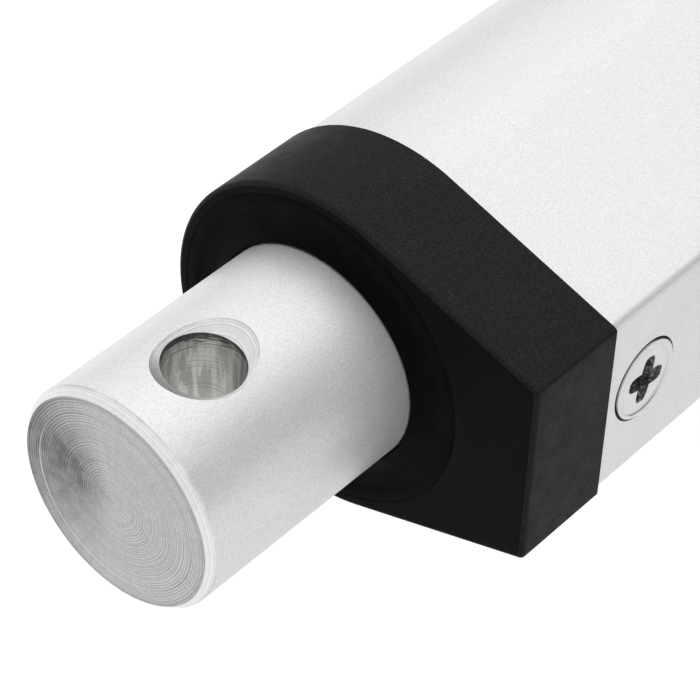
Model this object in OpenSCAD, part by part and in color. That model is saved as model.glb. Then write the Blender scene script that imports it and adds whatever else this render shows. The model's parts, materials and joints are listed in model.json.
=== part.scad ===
// Linear actuator: a tubular rod driven by a lead screw inside a profiled
// aluminium tube, with the motor in its own shell beside the tube.
// It lies on its side. X runs from the rear eye to the rod's end, Y from the
// lead screw to the motor, and Z along the rear mounting pin. The origin is
// the centre of the rear eye. Sizes are in millimetres.

/* [Travel] */
// Travel of the rod between its two limit switches
stroke = 100; // [50:5:300]
// Gap between the nut's key and a switch plunger at each end of the travel
trip_gap = 0.3; // [0.2:0.1:1]

/* [Rod] */
// Outside diameter of the rod
rod_d = 20; // [18:0.5:24]
// Wall of the rod tube
rod_wall = 2; // [1.5:0.1:2.4]
// Rod that stands out of the front cap when it is drawn in
rod_proud = 23.6; // [22:0.1:40]
// Chamfer along the rod at its end face
rod_chamfer = 0.8; // [0.4:0.1:1.5]
// Depth of that chamfer below the rod's surface
rod_chamfer_depth = 0.6; // [0.3:0.1:1.2]
// Length of the solid plug pressed into the rod's end
plug_length = 23; // [20:0.5:28]
// Gap between the plug's waist and the rod tube around the cross hole
plug_relief = 0.3; // [0.1:0.05:0.6]

/* [Mounting eyes] */
// Diameter of both mounting holes
eye_hole_d = 6.8; // [6:0.1:8]
// Distance from the rod's end face to its cross hole
eye_inset = 9; // [8:0.5:12]
// Rim diameter of the countersinks of the cross hole
eye_sink_d = 9.5; // [8.4:0.1:10]
// Depth of those countersinks below the rod's surface
eye_sink_depth = 1.05; // [0.8:0.05:1.5]
// Angle by which the rod's cross hole is turned towards the motor
eye_turn = 6.4; // [0:0.1:15]
// Radius of the rear lug around its hole
lug_r = 9.5; // [8.5:0.1:12]
// Thickness of the rear lug along its pin
lug_width = 20; // [16:0.5:24]
// Distance from the rear eye to the rear cover's outer face
lug_reach = 13; // [12:0.5:20]
// Wall of the steel bush in the rear lug
eye_bush_wall = 1.8; // [1:0.1:2.5]

/* [Body tube] */
// Wall of the tube's round part
tube_wall = 2.1; // [1.6:0.1:3]
// Wall of the tube's flat nose
nose_wall = 1.8; // [1.5:0.1:2.6]
// Half width of the tube's flat side
nose_half = 8.85; // [8.6:0.05:9.6]
// Rounding of the nose's two edges
nose_round = 1; // [0.6:0.1:1.5]
// Gap between the tube and what is plugged into it
tube_fit = 0.1; // [0.05:0.01:0.2]

/* [Front cap] */
// Thickness of the front cap's flange
cap_flange = 10.1; // [8:0.1:14]
// How far the cap stands out around the tube
cap_overhang = 0.3; // [0.1:0.05:0.6]
// Rounding of the cap's front edge
cap_round = 0.45; // [0.3:0.05:0.9]
// Rounding of the front cap's long edges
cap_edge = 0.4; // [0.3:0.05:1]
// Length of the cap's tongue and spigot inside the tube
cap_plug = 9.3; // [9:0.1:16]
// Wall of the cap's spigot around the guide bush
spigot_wall = 1.4; // [1.2:0.1:2]
// Wall of the guide bush
bush_wall = 1.44; // [1:0.02:2]
// Distance from the cap's back face to the cap screw
cap_screw_inset = 5.3; // [5:0.1:6]
// Width of the cap's rim around the wiper seal
cap_rim = 1; // [0.95:0.05:1.4]
// Depth of the wiper seal's seat
seal_depth = 3; // [2.5:0.1:4]
// Height of the seal's lip in front of the cap
seal_lip = 0.45; // [0.2:0.05:0.8]

/* [Lead screw and nut] */
// Outside diameter of the lead screw's thread
screw_d = 10; // [8.6:0.2:12]
// Length of the nut's flange and of its key
key_length = 8.5; // [8:0.1:12]
// Length of the nut's spigot inside the rod
nut_spigot = 13; // [10:0.5:16]
// Diameter of the screw where the gear and the bearing sit
seat_d = 8; // [7.6:0.1:9.6]
// Diameter of the screw's rear journal
tail_d = 6; // [5:0.1:6.6]
// Diameter of the two pins that lock the nut in the rod
nut_pin_d = 3; // [2:0.1:4]

/* [Limit switches] */
// Switch size across the channel
switch_width = 12.8; // [12:0.1:13]
// Switch size along the plunger
switch_depth = 6.5; // [6:0.1:7]
// Switch size above the board
switch_height = 5.8; // [5.4:0.1:6.9]
// How far a free plunger stands out of its switch
plunger_proud = 1; // [0.9:0.1:1.4]
// Diameter of a plunger
plunger_d = 1.8; // [1.4:0.1:2.4]
// Thickness of the switch board
board_thick = 1.2; // [1:0.1:1.6]

/* [Gear train] */
// Teeth of the motor pinion
motor_teeth = 14; // [13:1:18]
// Teeth of the idler's wheel
wheel_teeth = 45; // [40:1:48]
// Teeth of the idler's pinion
idler_teeth = 13; // [13:1:16]
// Teeth of the spindle gear
spindle_teeth = 30; // [28:1:34]
// Pressure angle of every tooth
pressure_angle = 25; // [24:0.5:26]
// Play between meshing teeth along the pitch circle
backlash = 0.12; // [0.08:0.01:0.25]
// Face width of the spindle gear
spindle_width = 7; // [5:0.5:9]
// Face width of the idler's wheel
wheel_width = 5; // [4:0.5:7]
// Gap between the wheel's teeth and the lead screw's seat
wheel_gap = 1.05; // [0.9:0.05:2]
// Diameter of the idler's axle
axle_d = 5; // [4:0.1:5.6]

/* [Gear housing] */
// Thickness of the rear cover
cover_depth = 6.5; // [6.5:0.1:9]
// Thickness of the gasket under the rear cover
gasket_thick = 0.5; // [0.4:0.1:1]
// Gap between gears and walls along the shafts
side_gap = 1.2; // [1.2:0.1:2]
// Gap between gear tips and the housing
tip_gap = 0.8; // [0.6:0.1:1.5]
// Thinnest wall of the housing beside the gears
housing_wall = 2; // [1.8:0.1:4]
// Thickness of the shoulder behind the bearing
shoulder = 2; // [1.6:0.1:3]
// Thickness of the plate that holds the bearing
retainer_thick = 1.5; // [1:0.1:2]
// Depth of the socket that holds the tube
socket_depth = 9; // [8:0.5:14]
// Wall of that socket
collar_wall = 2.2; // [2:0.1:3]
// Rounding of the housing's outer edges
housing_round = 2; // [1:0.25:2.5]
// Fillet between the rear lug and the cover
lug_fillet = 3; // [1:0.25:3]
// Thickness of the ribs on the cover and beside the neck
rib_thick = 2; // [1.4:0.1:2.6]

/* [Bearing] */
// Outside diameter of the ball bearing
bearing_d = 22; // [21.6:0.1:22.4]
// Width of the ball bearing
bearing_width = 7; // [6.6:0.1:8]
// Number of balls
ball_count = 7; // [6:1:8]
// Diameter of a ball
ball_d = 3.968; // [3.6:0.004:4]

/* [Motor] */
// Outside diameter of the motor shell
shell_d = 40; // [38:0.5:48]
// Wall of the motor shell
shell_wall = 1.5; // [1.2:0.1:2]
// Gap between the body tube and the motor shell
shell_gap = 0.55; // [0.4:0.05:4]
// Length of the housing's spigot inside the shell
shell_spigot = 6; // [6:0.5:8]
// Length of the motor's can
motor_length = 57; // [50:1:75]
// Diameter of the motor's shaft
motor_shaft_d = 3.2; // [3:0.1:4]
// Thickness of the end cap's flange
end_flange = 9; // [7:0.5:12]
// Diameter of the cable's way through the grommet
cable_d = 5.2; // [4:0.1:6]

/* [Hidden] */
$fn = 96;
ARC_STEPS = 6;          // straight steps in a rounded corner of a polygon
FLANK_STEPS = 3;        // straight steps along a tooth's involute
BACK_STEPS = 32;        // straight steps in half of the drop shape's back
ROUND_STEP = 22.5;      // degrees between the steps of a rounded outer edge
EPS = 0.01;             // overshoot of cuts and gap of pressed joints
RUN = 0.05;             // radial clearance of running fits
BLACK = [0.09, 0.09, 0.10];
ALUMINIUM = [0.80, 0.81, 0.82];
STEEL = [0.62, 0.64, 0.66];
BRONZE = [0.72, 0.52, 0.26];
COPPER = [0.78, 0.42, 0.22];
ACETAL = [0.93, 0.92, 0.87];

// Radii from the rod outwards
rod_r = rod_d / 2;
rod_bore_r = rod_r - rod_wall;
bush_bore_r = rod_r + RUN;
bush_r = bush_bore_r + bush_wall;
spigot_r = bush_r + EPS + spigot_wall;
bore_r = spigot_r + tube_fit;
tube_r = bore_r + tube_wall;
cap_r = tube_r + cap_overhang;
seal_r = cap_r - cap_rim;
eye_r = eye_hole_d / 2;

// Heights inside the tube's nose, along Y
switch_dip = 0.6;
switch_low = bore_r - switch_dip;
switch_high = switch_low + switch_height;
plunger_y = (switch_low + switch_high) / 2;
board_space = 0.4;
channel_top = switch_high + board_thick + board_space;
nose_y = channel_top + nose_wall;
channel_side_gap = 0.2;
channel_half = switch_width / 2 + channel_side_gap;
board_half = channel_half + 0.9;
board_slot_half = board_half + tube_fit;

// Angle from Y at which the flanks leave the round part
nose_tilt = atan2(nose_half, nose_y) + acos(tube_r / norm([nose_y, nose_half]));

// Motor shell and gear train: the wheel clears the screw's seat, and both
// modules follow from the distance between the tube and the motor
shell_r = shell_d / 2;
shell_bore_r = shell_r - shell_wall;
motor_y = nose_y + shell_gap + shell_r;
seat_r = seat_d / 2;
first_reach = (wheel_teeth + 2) / 2 + (motor_teeth + wheel_teeth) / 2;
first_module = (motor_y - seat_r - wheel_gap) / first_reach;
wheel_tip_r = first_module * (wheel_teeth + 2) / 2;
idler_y = seat_r + wheel_gap + wheel_tip_r;
second_module = 2 * idler_y / (idler_teeth + spindle_teeth);
spindle_tip_r = second_module * (spindle_teeth + 2) / 2;
idler_tip_r = second_module * (idler_teeth + 2) / 2;
motor_tip_r = first_module * (motor_teeth + 2) / 2;
wheel_phase = 180 / wheel_teeth;
spindle_phase = 180 / spindle_teeth;

// Stations along X, from the rear eye forwards
cover_back = lug_reach;
cover_front = cover_back + cover_depth;
housing_back = cover_front + gasket_thick;
spindle_x = housing_back + side_gap;
spindle_front = spindle_x + spindle_width;
wheel_x = spindle_front + side_gap;
wheel_front = wheel_x + wheel_width;
wall_x = wheel_front + side_gap;
bearing_x = wall_x + shoulder;
bearing_front = bearing_x + bearing_width;
tube_back = bearing_front + retainer_thick;
collar_front = tube_back + socket_depth;
switch_inset = 0.5;
rear_switch_x = tube_back + switch_inset;
rear_face = rear_switch_x + switch_depth;
key_back = rear_face + plunger_proud + trip_gap;
key_front = key_back + key_length;
front_tip = key_front + stroke + trip_gap;
front_face = front_tip + plunger_proud;
front_switch_end = front_face + switch_depth;
tongue_gap = 0.3;
tongue_back = front_switch_end + tongue_gap;
cap_back = tongue_back + cap_plug;
cap_front = cap_back + cap_flange;
rod_end = cap_front + rod_proud;
front_eye_x = rod_end - eye_inset;
plug_back = rod_end - plug_length;
seal_back = cap_front - seal_depth;
screw_x = cap_back - cap_screw_inset;

// Lead screw
screw_r = screw_d / 2;
collar_r = 6;
collar_end = bearing_front + 3.4;
tail_r = tail_d / 2;
tail_back = cover_back + 2.6;
guide_gap = 1;
guide_back = key_front + nut_spigot + stroke + guide_gap;
guide_length = 5;
guide_clip_x = guide_back + guide_length + EPS;
screw_front = guide_clip_x + 2;
clip_thick = 0.8;
clip_depth = 0.25;
clip_rise = 2.3;
clip_gap = 0.05;
shaft_clip_xs = [
    spindle_x - clip_gap - clip_thick,
    spindle_front + clip_gap,
    bearing_x - clip_gap - clip_thick
];
key_size = 2;

// Gear housing
front_block = 3.4;
block_front = wall_x + front_block;
motor_face = block_front + shell_spigot;
spindle_pocket_r = spindle_tip_r + tip_gap;
wheel_pocket_r = wheel_tip_r + tip_gap;
pinion_pocket_r = motor_tip_r + 2.9;
block_half = max(shell_r, wheel_pocket_r + housing_wall, lug_width / 2 + 5);
block_low = -spindle_pocket_r - housing_wall;
corner_r = 7;
screw_margin = 5.3;
m3_r = 1.5;
m3_head_r = 2.75;
m3_head = 2.4;
m4_r = 2;
m4_head_r = 3.7;
head_sink = 0.1;
cover_screw_length = 16;
cover_seat = cover_back + m3_head + 0.3;
cover_dish = 1;
cover_dish_r = shell_r * 0.59;
cover_screws_at = [
    [block_low + screw_margin, block_half - screw_margin],
    [block_low + screw_margin, -block_half + screw_margin],
    [motor_y + shell_r * 0.59, shell_r * 0.55],
    [motor_y + shell_r * 0.59, -shell_r * 0.55]
];
motor_screw_z = 12.5;
axle_r = axle_d / 2;
axle_seat = 4.5;

// Motor
can_r = shell_bore_r - 0.5;
can_wall = 1.2;
can_floor = 1.6;
can_round = 1.2;
can_end = motor_face + motor_length;
boss_r = 6.5;
boss_height = 3.5;
motor_shaft_r = motor_shaft_d / 2;
motor_bush_r = 3.5;
magnet_r = can_r - can_wall - EPS;
magnet_thick = 2.7;
air_gap = 0.5;
core_r = magnet_r - magnet_thick - air_gap;
pole_neck = 3.2;
pole_shoe = 2.2;
coil_gap = 0.4;
coil_side_gap = 1.64;
core_back = motor_face + 9;
core_front = can_end - 16;
pole_count = 5;
winding_overhang = 3.5;
commutator_r = 4.6;
commutator_x = core_front + winding_overhang + 1.5;
commutator_length = 7.5;
bell_x = can_end - 3;
bell_front = can_end + 1.5;
shell_front = can_end + 9;
end_front = shell_front + end_flange;
end_wall = 3;
end_round = 2.5;
end_dish = 0.4;
end_spigot_r = shell_bore_r - tube_fit;
end_spigot_x = shell_front - 7;
shell_screw_angles = [0, 90, 270];
shell_screw_length = 4;
cable_r = cable_d / 2;
grommet_neck_r = cable_r + 1.8;

// ---------------------------------------------------------------- helpers

// Turns a shape drawn along Z so that it runs along X, with its X on Y
module along_x(x) {
    translate([x, 0, 0])
        rotate([90, 0, 90])
            children();
}

module bar(x0, x1, r) {
    along_x(x0)
        cylinder(h = x1 - x0, r = r);
}

module ring(x0, x1, r_out, r_in) {
    difference() {
        bar(x0, x1, r_out);
        bar(x0 - 1, x1 + 1, r_in);
    }
}

// A solid of revolution about the X axis, from points [x, radius]
module turned(points) {
    rotate([0, 90, 0])
        rotate([0, 0, 90])
            rotate_extrude()
                polygon([for (p = points) [p[1], p[0]]]);
}

module at_idler() {
    translate([0, idler_y, 0])
        children();
}

module at_motor() {
    translate([0, motor_y, 0])
        children();
}

function arc(centre, r, from, to, steps) = [
    for (i = [0 : steps])
        centre + r * [cos(from + (to - from) * i / steps), sin(from + (to - from) * i / steps)]
];

// Half width of the drop shape at height y, for round part r
function flank_half(r, y) = (r - y * cos(nose_tilt)) / sin(nose_tilt);

// The nose's rounded edge beyond the flank of round part r
function nose_edge(r, top, edge) =
    arc([top - edge, flank_half(r - edge, top - edge)], edge, nose_tilt, 0, ARC_STEPS);

// Both sides of an outline that is symmetric about Y
function mirrored(upper) = concat(upper, [for (i = [len(upper) - 1 : -1 : 0]) [upper[i][0], -upper[i][1]]]);

// The nose alone: straight flanks off the round part, and a flat top
module nose_outline(r, top, edge) {
    polygon(mirrored(concat([polar(r + EPS, nose_tilt)], nose_edge(r, top, edge))));
}

// The whole drop shape as one outline
module drop_outline(r, top, edge) {
    back = arc([0, 0], r, 180 - 180 / BACK_STEPS, nose_tilt, BACK_STEPS);
    polygon(mirrored(concat(back, nose_edge(r, top, edge))));
}

// The drop shape of the tube between two stations: a round part with its nose
module drop_bar(x0, x1, r, top, edge) {
    bar(x0, x1, r);
    along_x(x0)
        linear_extrude(x1 - x0)
            nose_outline(r, top, edge);
}

// ------------------------------------------------------------------ gears

function involute_angle(base, r) = r <= base ? 0 : tan(acos(base / r)) * 180 / PI - acos(base / r);

// Half angle of a tooth at radius r
function tooth_half(teeth, pitch_r, r) =
    90 / teeth - backlash / 4 / pitch_r * 180 / PI
    + involute_angle(pitch_r * cos(pressure_angle), pitch_r)
    - involute_angle(pitch_r * cos(pressure_angle), r);

function polar(r, a) = r * [cos(a), sin(a)];

// Outline of a spur gear, with one tooth centred at the angle phase
function gear_points(teeth, modul, phase) = let (
    pitch_r = teeth * modul / 2,
    root_r = pitch_r - 1.25 * modul,
    tip_r = pitch_r + modul,
    foot_r = max(pitch_r * cos(pressure_angle), root_r + 0.1 * modul),
    radii = concat([root_r], [for (i = [0 : FLANK_STEPS]) foot_r + (tip_r - foot_r) * i / FLANK_STEPS])
) [
    for (k = [0 : teeth - 1])
        let (middle = phase + k * 360 / teeth)
            for (side = [-1, 1], i = [0 : len(radii) - 1])
                let (r = radii[side < 0 ? i : len(radii) - 1 - i])
                    polar(r, middle + side * tooth_half(teeth, pitch_r, r))
];

module gear_blank(x0, x1, teeth, modul, phase) {
    along_x(x0)
        linear_extrude(x1 - x0)
            polygon(gear_points(teeth, modul, phase));
}

// --------------------------------------------------------------- fasteners

// Two crossed slots cut into a screw head, drawn at z = 0 with the head below
module cross_slots(arm, width, depth) {
    for (a = [0, 90])
        rotate([0, 0, a])
            translate([-arm, -width / 2, -depth])
                cube([2 * arm, width, depth + 1]);
}

// A countersunk screw that points down, with its head's top at z = 0
module sunk_screw(r, head_r, length) {
    difference() {
        union() {
            translate([0, 0, -(head_r - r)])
                cylinder(h = head_r - r, r1 = r, r2 = head_r);
            translate([0, 0, -length])
                cylinder(h = length - 0.1, r = r);
        }
        cross_slots(head_r * 0.54, r * 0.4, (head_r - r) * 0.75);
    }
}

// The hole for such a screw, whose head lies a little below the surface
module sunk_hole(r, head_r, length, play) {
    above = 2;
    sink = head_r - r + head_sink;
    translate([0, 0, -sink])
        cylinder(h = sink + above, r1 = r + play, r2 = r + play + sink + above);
    translate([0, 0, -length])
        cylinder(h = length, r = r + play);
}

// A pan-head screw that points down, with the seat of its head at z = 0
module pan_screw(r, head_r, head, length) {
    difference() {
        union() {
            cylinder(h = head * 0.6, r = head_r);
            translate([0, 0, head * 0.6])
                cylinder(h = head * 0.4, r1 = head_r, r2 = head_r * 0.7);
            translate([0, 0, -length])
                cylinder(h = length + 0.1, r = r);
        }
        translate([0, 0, head])
            cross_slots(head_r * 0.55, r * 0.45, head * 0.55);
    }
}

// ------------------------------------------------------- rear end of the part

// The outline of housing and cover, in Y and Z: square at the lead screw, and
// round about the motor
module block_outline(inset) {
    r = corner_r - inset;
    for (side = [-1, 1])
        translate([block_low + corner_r, side * (block_half - corner_r)])
            circle(r = r, $fn = 32);
    translate([motor_y, 0])
        circle(r = shell_r - inset, $fn = 72);
    for (side = [-1, 1])
        translate([idler_y, side * (block_half - corner_r)])
            circle(r = r, $fn = 32);
}

// A block between two stations whose edge at x_round is rounded
module rounded_block(x_flat, x_round) {
    inward = x_round > x_flat ? -1 : 1;
    slice = 0.05;
    x_full = x_round + inward * housing_round;
    hull() {
        along_x(min(x_flat, x_full))
            linear_extrude(abs(x_full - x_flat))
                block_outline(0);
        for (a = [ROUND_STEP : ROUND_STEP : 90])
            along_x(x_round + inward * housing_round * (1 - sin(a)) - (inward > 0 ? 0 : slice))
                linear_extrude(slice)
                    block_outline(housing_round * (1 - cos(a)));
    }
}

// The lug's straight flanks, which widen towards the cover and end in fillets
module lug_root() {
    root_half = lug_r + 3.5;
    tilt = acos(lug_r / norm([cover_back, root_half])) + atan2(root_half, cover_back);
    fillet_x = cover_back - lug_fillet;
    fillet_y = (lug_r + lug_fillet - fillet_x * cos(tilt)) / sin(tilt);
    fillet = arc([fillet_x, fillet_y], lug_fillet, 180 + tilt, 360, ARC_STEPS);
    linear_extrude(lug_width)
        polygon(mirrored(concat([polar(lug_r + EPS, tilt)], fillet, [[cover_back + 1, fillet_y]])));
}

// Two ribs, level with the lug's sides, that run down the cover to the motor
module cover_ribs() {
    rib_top = cover_back * 0.4;
    rib_end = motor_y - cover_dish_r;
    for (z = [-lug_width / 2, lug_width / 2 - rib_thick])
        translate([0, 0, z])
            linear_extrude(rib_thick)
                polygon([
                    [cover_back + 1, 0],
                    [rib_top, 0],
                    [rib_top, lug_r],
                    [cover_back, rib_end],
                    [cover_back + 1, rib_end]
                ]);
}

module rear_cover() {
    color(BLACK)
        difference() {
            union() {
                rounded_block(cover_front, cover_back);
                translate([0, 0, -lug_width / 2]) {
                    cylinder(h = lug_width, r = lug_r);
                    lug_root();
                }
                cover_ribs();
            }
            at_motor()
                bar(cover_back - 1, cover_back + cover_dish, cover_dish_r);
            translate([0, 0, -lug_width / 2 - 1])
                cylinder(h = lug_width + 2, r = eye_r + eye_bush_wall + EPS);
            bar(cover_back + 2, cover_front + 1, tail_r + 2 + EPS);
            at_idler()
                bar(cover_front - axle_seat, cover_front + 1, axle_r + EPS);
            for (p = cover_screws_at)
                translate([0, p[0], p[1]]) {
                    bar(cover_back - 1, cover_seat, m3_head_r + 0.25);
                    bar(cover_back, cover_front + 1, m3_r + 0.15);
                }
        }
}

module rear_eye_bush() {
    color(STEEL)
        translate([0, 0, -lug_width / 2])
            difference() {
                cylinder(h = lug_width, r = eye_r + eye_bush_wall);
                translate([0, 0, -1])
                    cylinder(h = lug_width + 2, r = eye_r);
            }
}

module tail_bush() {
    color(BRONZE)
        ring(cover_back + 2.1, cover_front, tail_r + 2, tail_r + RUN);
}

// The hollow that the gears turn in, as an outline in Y and Z
module gear_pocket() {
    circle(r = spindle_pocket_r);
    translate([idler_y, 0])
        circle(r = wheel_pocket_r);
    translate([motor_y, 0])
        circle(r = pinion_pocket_r);
    for (side = [-1, 1])
        translate([motor_y, side * motor_screw_z])
            circle(r = m3_head_r + 0.5);
}

module cover_gasket() {
    color([0.16, 0.17, 0.16])
        along_x(cover_front)
            difference() {
                linear_extrude(gasket_thick)
                    hull()
                        block_outline(0.4);
                translate([0, 0, -1])
                    linear_extrude(gasket_thick + 2)
                        gear_pocket();
                for (p = cover_screws_at)
                    translate([p[0], p[1], -1])
                        cylinder(h = gasket_thick + 2, r = m3_r + 0.15);
            }
}

module cover_screws() {
    color(STEEL)
        for (p = cover_screws_at)
            translate([cover_seat, p[0], p[1]])
                rotate([0, -90, 0])
                    pan_screw(m3_r, m3_head_r, m3_head, cover_screw_length);
}

module gear_housing() {
    color(BLACK)
        difference() {
            union() {
                rounded_block(housing_back, block_front);
                housing_neck();
                neck_ribs();
                at_motor()
                    bar(block_front - 1, motor_face, shell_bore_r - tube_fit);
            }
            along_x(housing_back - 1)
                linear_extrude(wall_x - housing_back + 1)
                    gear_pocket();
            bar(wall_x - 1, bearing_x + 1, bearing_d / 2 - 3.5);
            bar(bearing_x, bearing_front + 1, bearing_d / 2 + EPS);
            bar(bearing_front, tube_back + 1, tube_r + tube_fit);
            drop_bar(tube_back, collar_front + 1, tube_r + tube_fit, nose_y + tube_fit, nose_round);
            at_idler()
                bar(wall_x - 1, block_front - 0.2, axle_r + EPS);
            at_motor() {
                bar(wall_x - 1, motor_face + 1, motor_tip_r + 0.3);
                bar(motor_face - boss_height - 0.1, motor_face + 1, boss_r + 0.1);
                for (side = [-1, 1])
                    translate([0, 0, side * motor_screw_z]) {
                        bar(wall_x - 1, motor_face - 4, m3_head_r + 0.5);
                        bar(wall_x, motor_face + 1, m3_r + 0.15);
                    }
                for (a = shell_screw_angles)
                    rotate([a - 90, 0, 0])
                        translate([block_front + shell_spigot / 2, 0, shell_r - shell_screw_length - 0.2])
                            cylinder(h = shell_screw_length + 1, r = m3_r + RUN);
            }
            for (p = cover_screws_at)
                translate([0, p[0], p[1]])
                    bar(housing_back - 1, cover_seat + cover_screw_length + 1, m3_r + RUN);
            for (side = [0, 180])
                rotate([side, 0, 0])
                    translate([tube_screw_x(), 0, tube_r + tube_fit + collar_wall])
                        sunk_hole(m4_r, m4_head_r, 8, RUN);
        }
}

function tube_screw_x() = tube_back + socket_depth / 2 + 0.5;

// The neck that holds the bearing and the tube, with the tube's flat side bare
module housing_neck() {
    grow = tube_fit + collar_wall;
    difference() {
        drop_bar(block_front - 1, collar_front, tube_r + grow, nose_y + grow, nose_round + 1);
        translate([block_front - 2, nose_y, -tube_r])
            cube([collar_front - block_front + 3, grow + 1, 2 * tube_r]);
    }
}

// Ribs that brace the neck against the block, on both sides of each tube screw
module neck_ribs() {
    rib_y = m4_head_r + 4.5;
    socket_r = tube_r + tube_fit;
    near = rib_y - rib_thick / 2;
    far = rib_y + rib_thick / 2;
    foot = (sqrt(pow(socket_r, 2) - pow(near, 2)) + sqrt(pow(socket_r + collar_wall, 2) - pow(far, 2))) / 2;
    for (side = [-1, 1], y = [-rib_y, rib_y])
        translate([0, y + rib_thick / 2, 0])
            rotate([90, 0, 0])
                linear_extrude(rib_thick)
                    polygon([
                        [block_front - 1, side * foot],
                        [block_front - 1, side * (block_half - housing_round)],
                        [block_front, side * (block_half - housing_round)],
                        [collar_front - 1, side * (foot + 0.4)],
                        [collar_front - 1, side * foot]
                    ]);
}

module tube_screws() {
    color(STEEL)
        for (side = [0, 180])
            rotate([side, 0, 0])
                translate([tube_screw_x(), 0, tube_r + tube_fit + collar_wall - head_sink])
                    sunk_screw(m4_r, m4_head_r, collar_wall + tube_wall - 0.1);
}

module bearing_retainer() {
    color(STEEL)
        ring(bearing_front, tube_back, tube_r, bearing_d / 2 - 1.4);
}

// -------------------------------------------------------------- front end

module body_tube() {
    color(ALUMINIUM)
        difference() {
            drop_bar(tube_back, cap_back, tube_r, nose_y, nose_round);
            bar(tube_back - 1, cap_back + 1, bore_r);
            translate([tube_back - 1, 0, -channel_half])
                cube([cap_back - tube_back + 2, channel_top, 2 * channel_half]);
            translate([tube_back - 1, switch_high - tube_fit, -board_slot_half])
                cube([cap_back - tube_back + 2, board_thick + 2 * tube_fit, 2 * board_slot_half]);
            translate([screw_x, nose_y, 0])
                rotate([-90, 0, 0])
                    sunk_hole(m4_r, m4_head_r, 4, 0.1);
            for (side = [0, 180])
                rotate([side, 0, 0])
                    translate([tube_screw_x(), 0, 0])
                        cylinder(h = tube_r + 1, r = m4_r + RUN);
        }
}

module cap_screw() {
    color(STEEL)
        translate([screw_x, nose_y - head_sink, 0])
            rotate([-90, 0, 0])
                sunk_screw(m4_r, m4_head_r, nose_y - spigot_r - 0.5);
}

// The cap's flange, with its front edge rounded
module cap_body() {
    slice = 0.05;
    hull() {
        along_x(cap_back)
            linear_extrude(cap_flange - cap_round)
                drop_outline(cap_r, nose_y + cap_overhang, cap_edge);
        for (a = [ROUND_STEP : ROUND_STEP : 90])
            let (inset = cap_round * (1 - cos(a)))
                along_x(cap_front - cap_round * (1 - sin(a)) - slice)
                    linear_extrude(slice)
                        drop_outline(cap_r - inset, nose_y + cap_overhang - inset, cap_edge);
    }
}

module front_cap() {
    tongue_half = channel_half - tube_fit;
    color(BLACK)
        difference() {
            union() {
                cap_body();
                bar(tongue_back, cap_back + 1, spigot_r);
                translate([tongue_back, 0, -tongue_half])
                    cube([cap_back + 1 - tongue_back, channel_top - tube_fit, 2 * tongue_half]);
            }
            bar(tongue_back - 1, seal_back + 1, bush_r + EPS);
            bar(seal_back, cap_front + 1, seal_r + EPS);
            translate([screw_x, 0, 0])
                rotate([-90, 0, 0])
                    cylinder(h = nose_y, r = m4_r + RUN);
        }
}

module guide_bush() {
    color(ACETAL)
        ring(tongue_back + 0.2, seal_back - 0.1, bush_r, bush_bore_r);
}

module wiper_seal() {
    lip_r = rod_r + RUN;
    color([0.12, 0.12, 0.12])
        turned([
            [seal_back + 0.05, seal_r],
            [cap_front - 0.3, seal_r],
            [cap_front - 0.55, seal_r - 0.6],
            [cap_front - 0.55, seal_r - 1.2],
            [cap_front + seal_lip * 0.8, lip_r + 0.6],
            [cap_front + seal_lip, lip_r + 0.25],
            [cap_front + seal_lip * 0.6, lip_r],
            [cap_front - 0.6, lip_r + 0.3],
            [seal_back + 0.9, lip_r + 0.5],
            [seal_back + 0.05, lip_r]
        ]);
}

// -------------------------------------------------------------------- rod

// The cross hole and its countersinks through the rod's end
module eye_hole() {
    sink = eye_sink_depth + 1;
    spread = (eye_sink_d / 2 - eye_r) * sink / eye_sink_depth;
    translate([front_eye_x, 0, 0])
        rotate([-eye_turn, 0, 0]) {
            translate([0, 0, -rod_r - 1])
                cylinder(h = rod_d + 2, r = eye_r);
            for (side = [0, 180])
                rotate([side, 0, 0])
                    translate([0, 0, rod_r - eye_sink_depth])
                        cylinder(h = sink, r1 = eye_r, r2 = eye_r + spread);
        }
}

module rod_tube() {
    color(ALUMINIUM)
        difference() {
            turned([
                [key_front, rod_bore_r],
                [key_front, rod_r - 0.4],
                [key_front + 0.4, rod_r],
                [rod_end - rod_chamfer, rod_r],
                [rod_end, rod_r - rod_chamfer_depth],
                [rod_end, rod_bore_r]
            ]);
            eye_hole();
            translate([nut_pin_x(), 0, -rod_r - 1])
                cylinder(h = rod_d + 2, r = nut_pin_d / 2 + EPS);
        }
}

function nut_pin_x() = key_front + nut_spigot / 2;

module rod_end_plug() {
    waist = eye_r + 1.6;
    land_r = rod_bore_r - EPS;
    waist_r = rod_bore_r - plug_relief;
    color(ALUMINIUM)
        difference() {
            turned([
                [plug_back, 0],
                [plug_back, land_r - 0.8],
                [plug_back + 0.8, land_r],
                [front_eye_x - waist - plug_relief, land_r],
                [front_eye_x - waist, waist_r],
                [front_eye_x + waist, waist_r],
                [front_eye_x + waist + plug_relief, land_r],
                [rod_end, land_r],
                [rod_end, 0]
            ]);
            eye_hole();
        }
}

module drive_nut() {
    key_half = channel_half - 0.3;
    color(ACETAL)
        difference() {
            union() {
                bar(key_back, key_front, bore_r - 0.08);
                bar(key_front - 1, key_front + nut_spigot, rod_bore_r - EPS);
                translate([key_back, 0, -key_half])
                    cube([key_length, switch_high - 0.3, 2 * key_half]);
            }
            bar(key_back - 1, key_front + nut_spigot + 1, screw_r + RUN);
            translate([nut_pin_x(), 0, -rod_r])
                cylinder(h = rod_d, r = nut_pin_d / 2 + EPS);
        }
}

module nut_pins() {
    pin_low = screw_r + 0.8;
    color(STEEL)
        for (side = [0, 180])
            rotate([side, 0, 0])
                translate([nut_pin_x(), 0, pin_low])
                    cylinder(h = rod_r - 0.15 - pin_low, r = nut_pin_d / 2);
}

// ------------------------------------------------------------- lead screw

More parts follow.
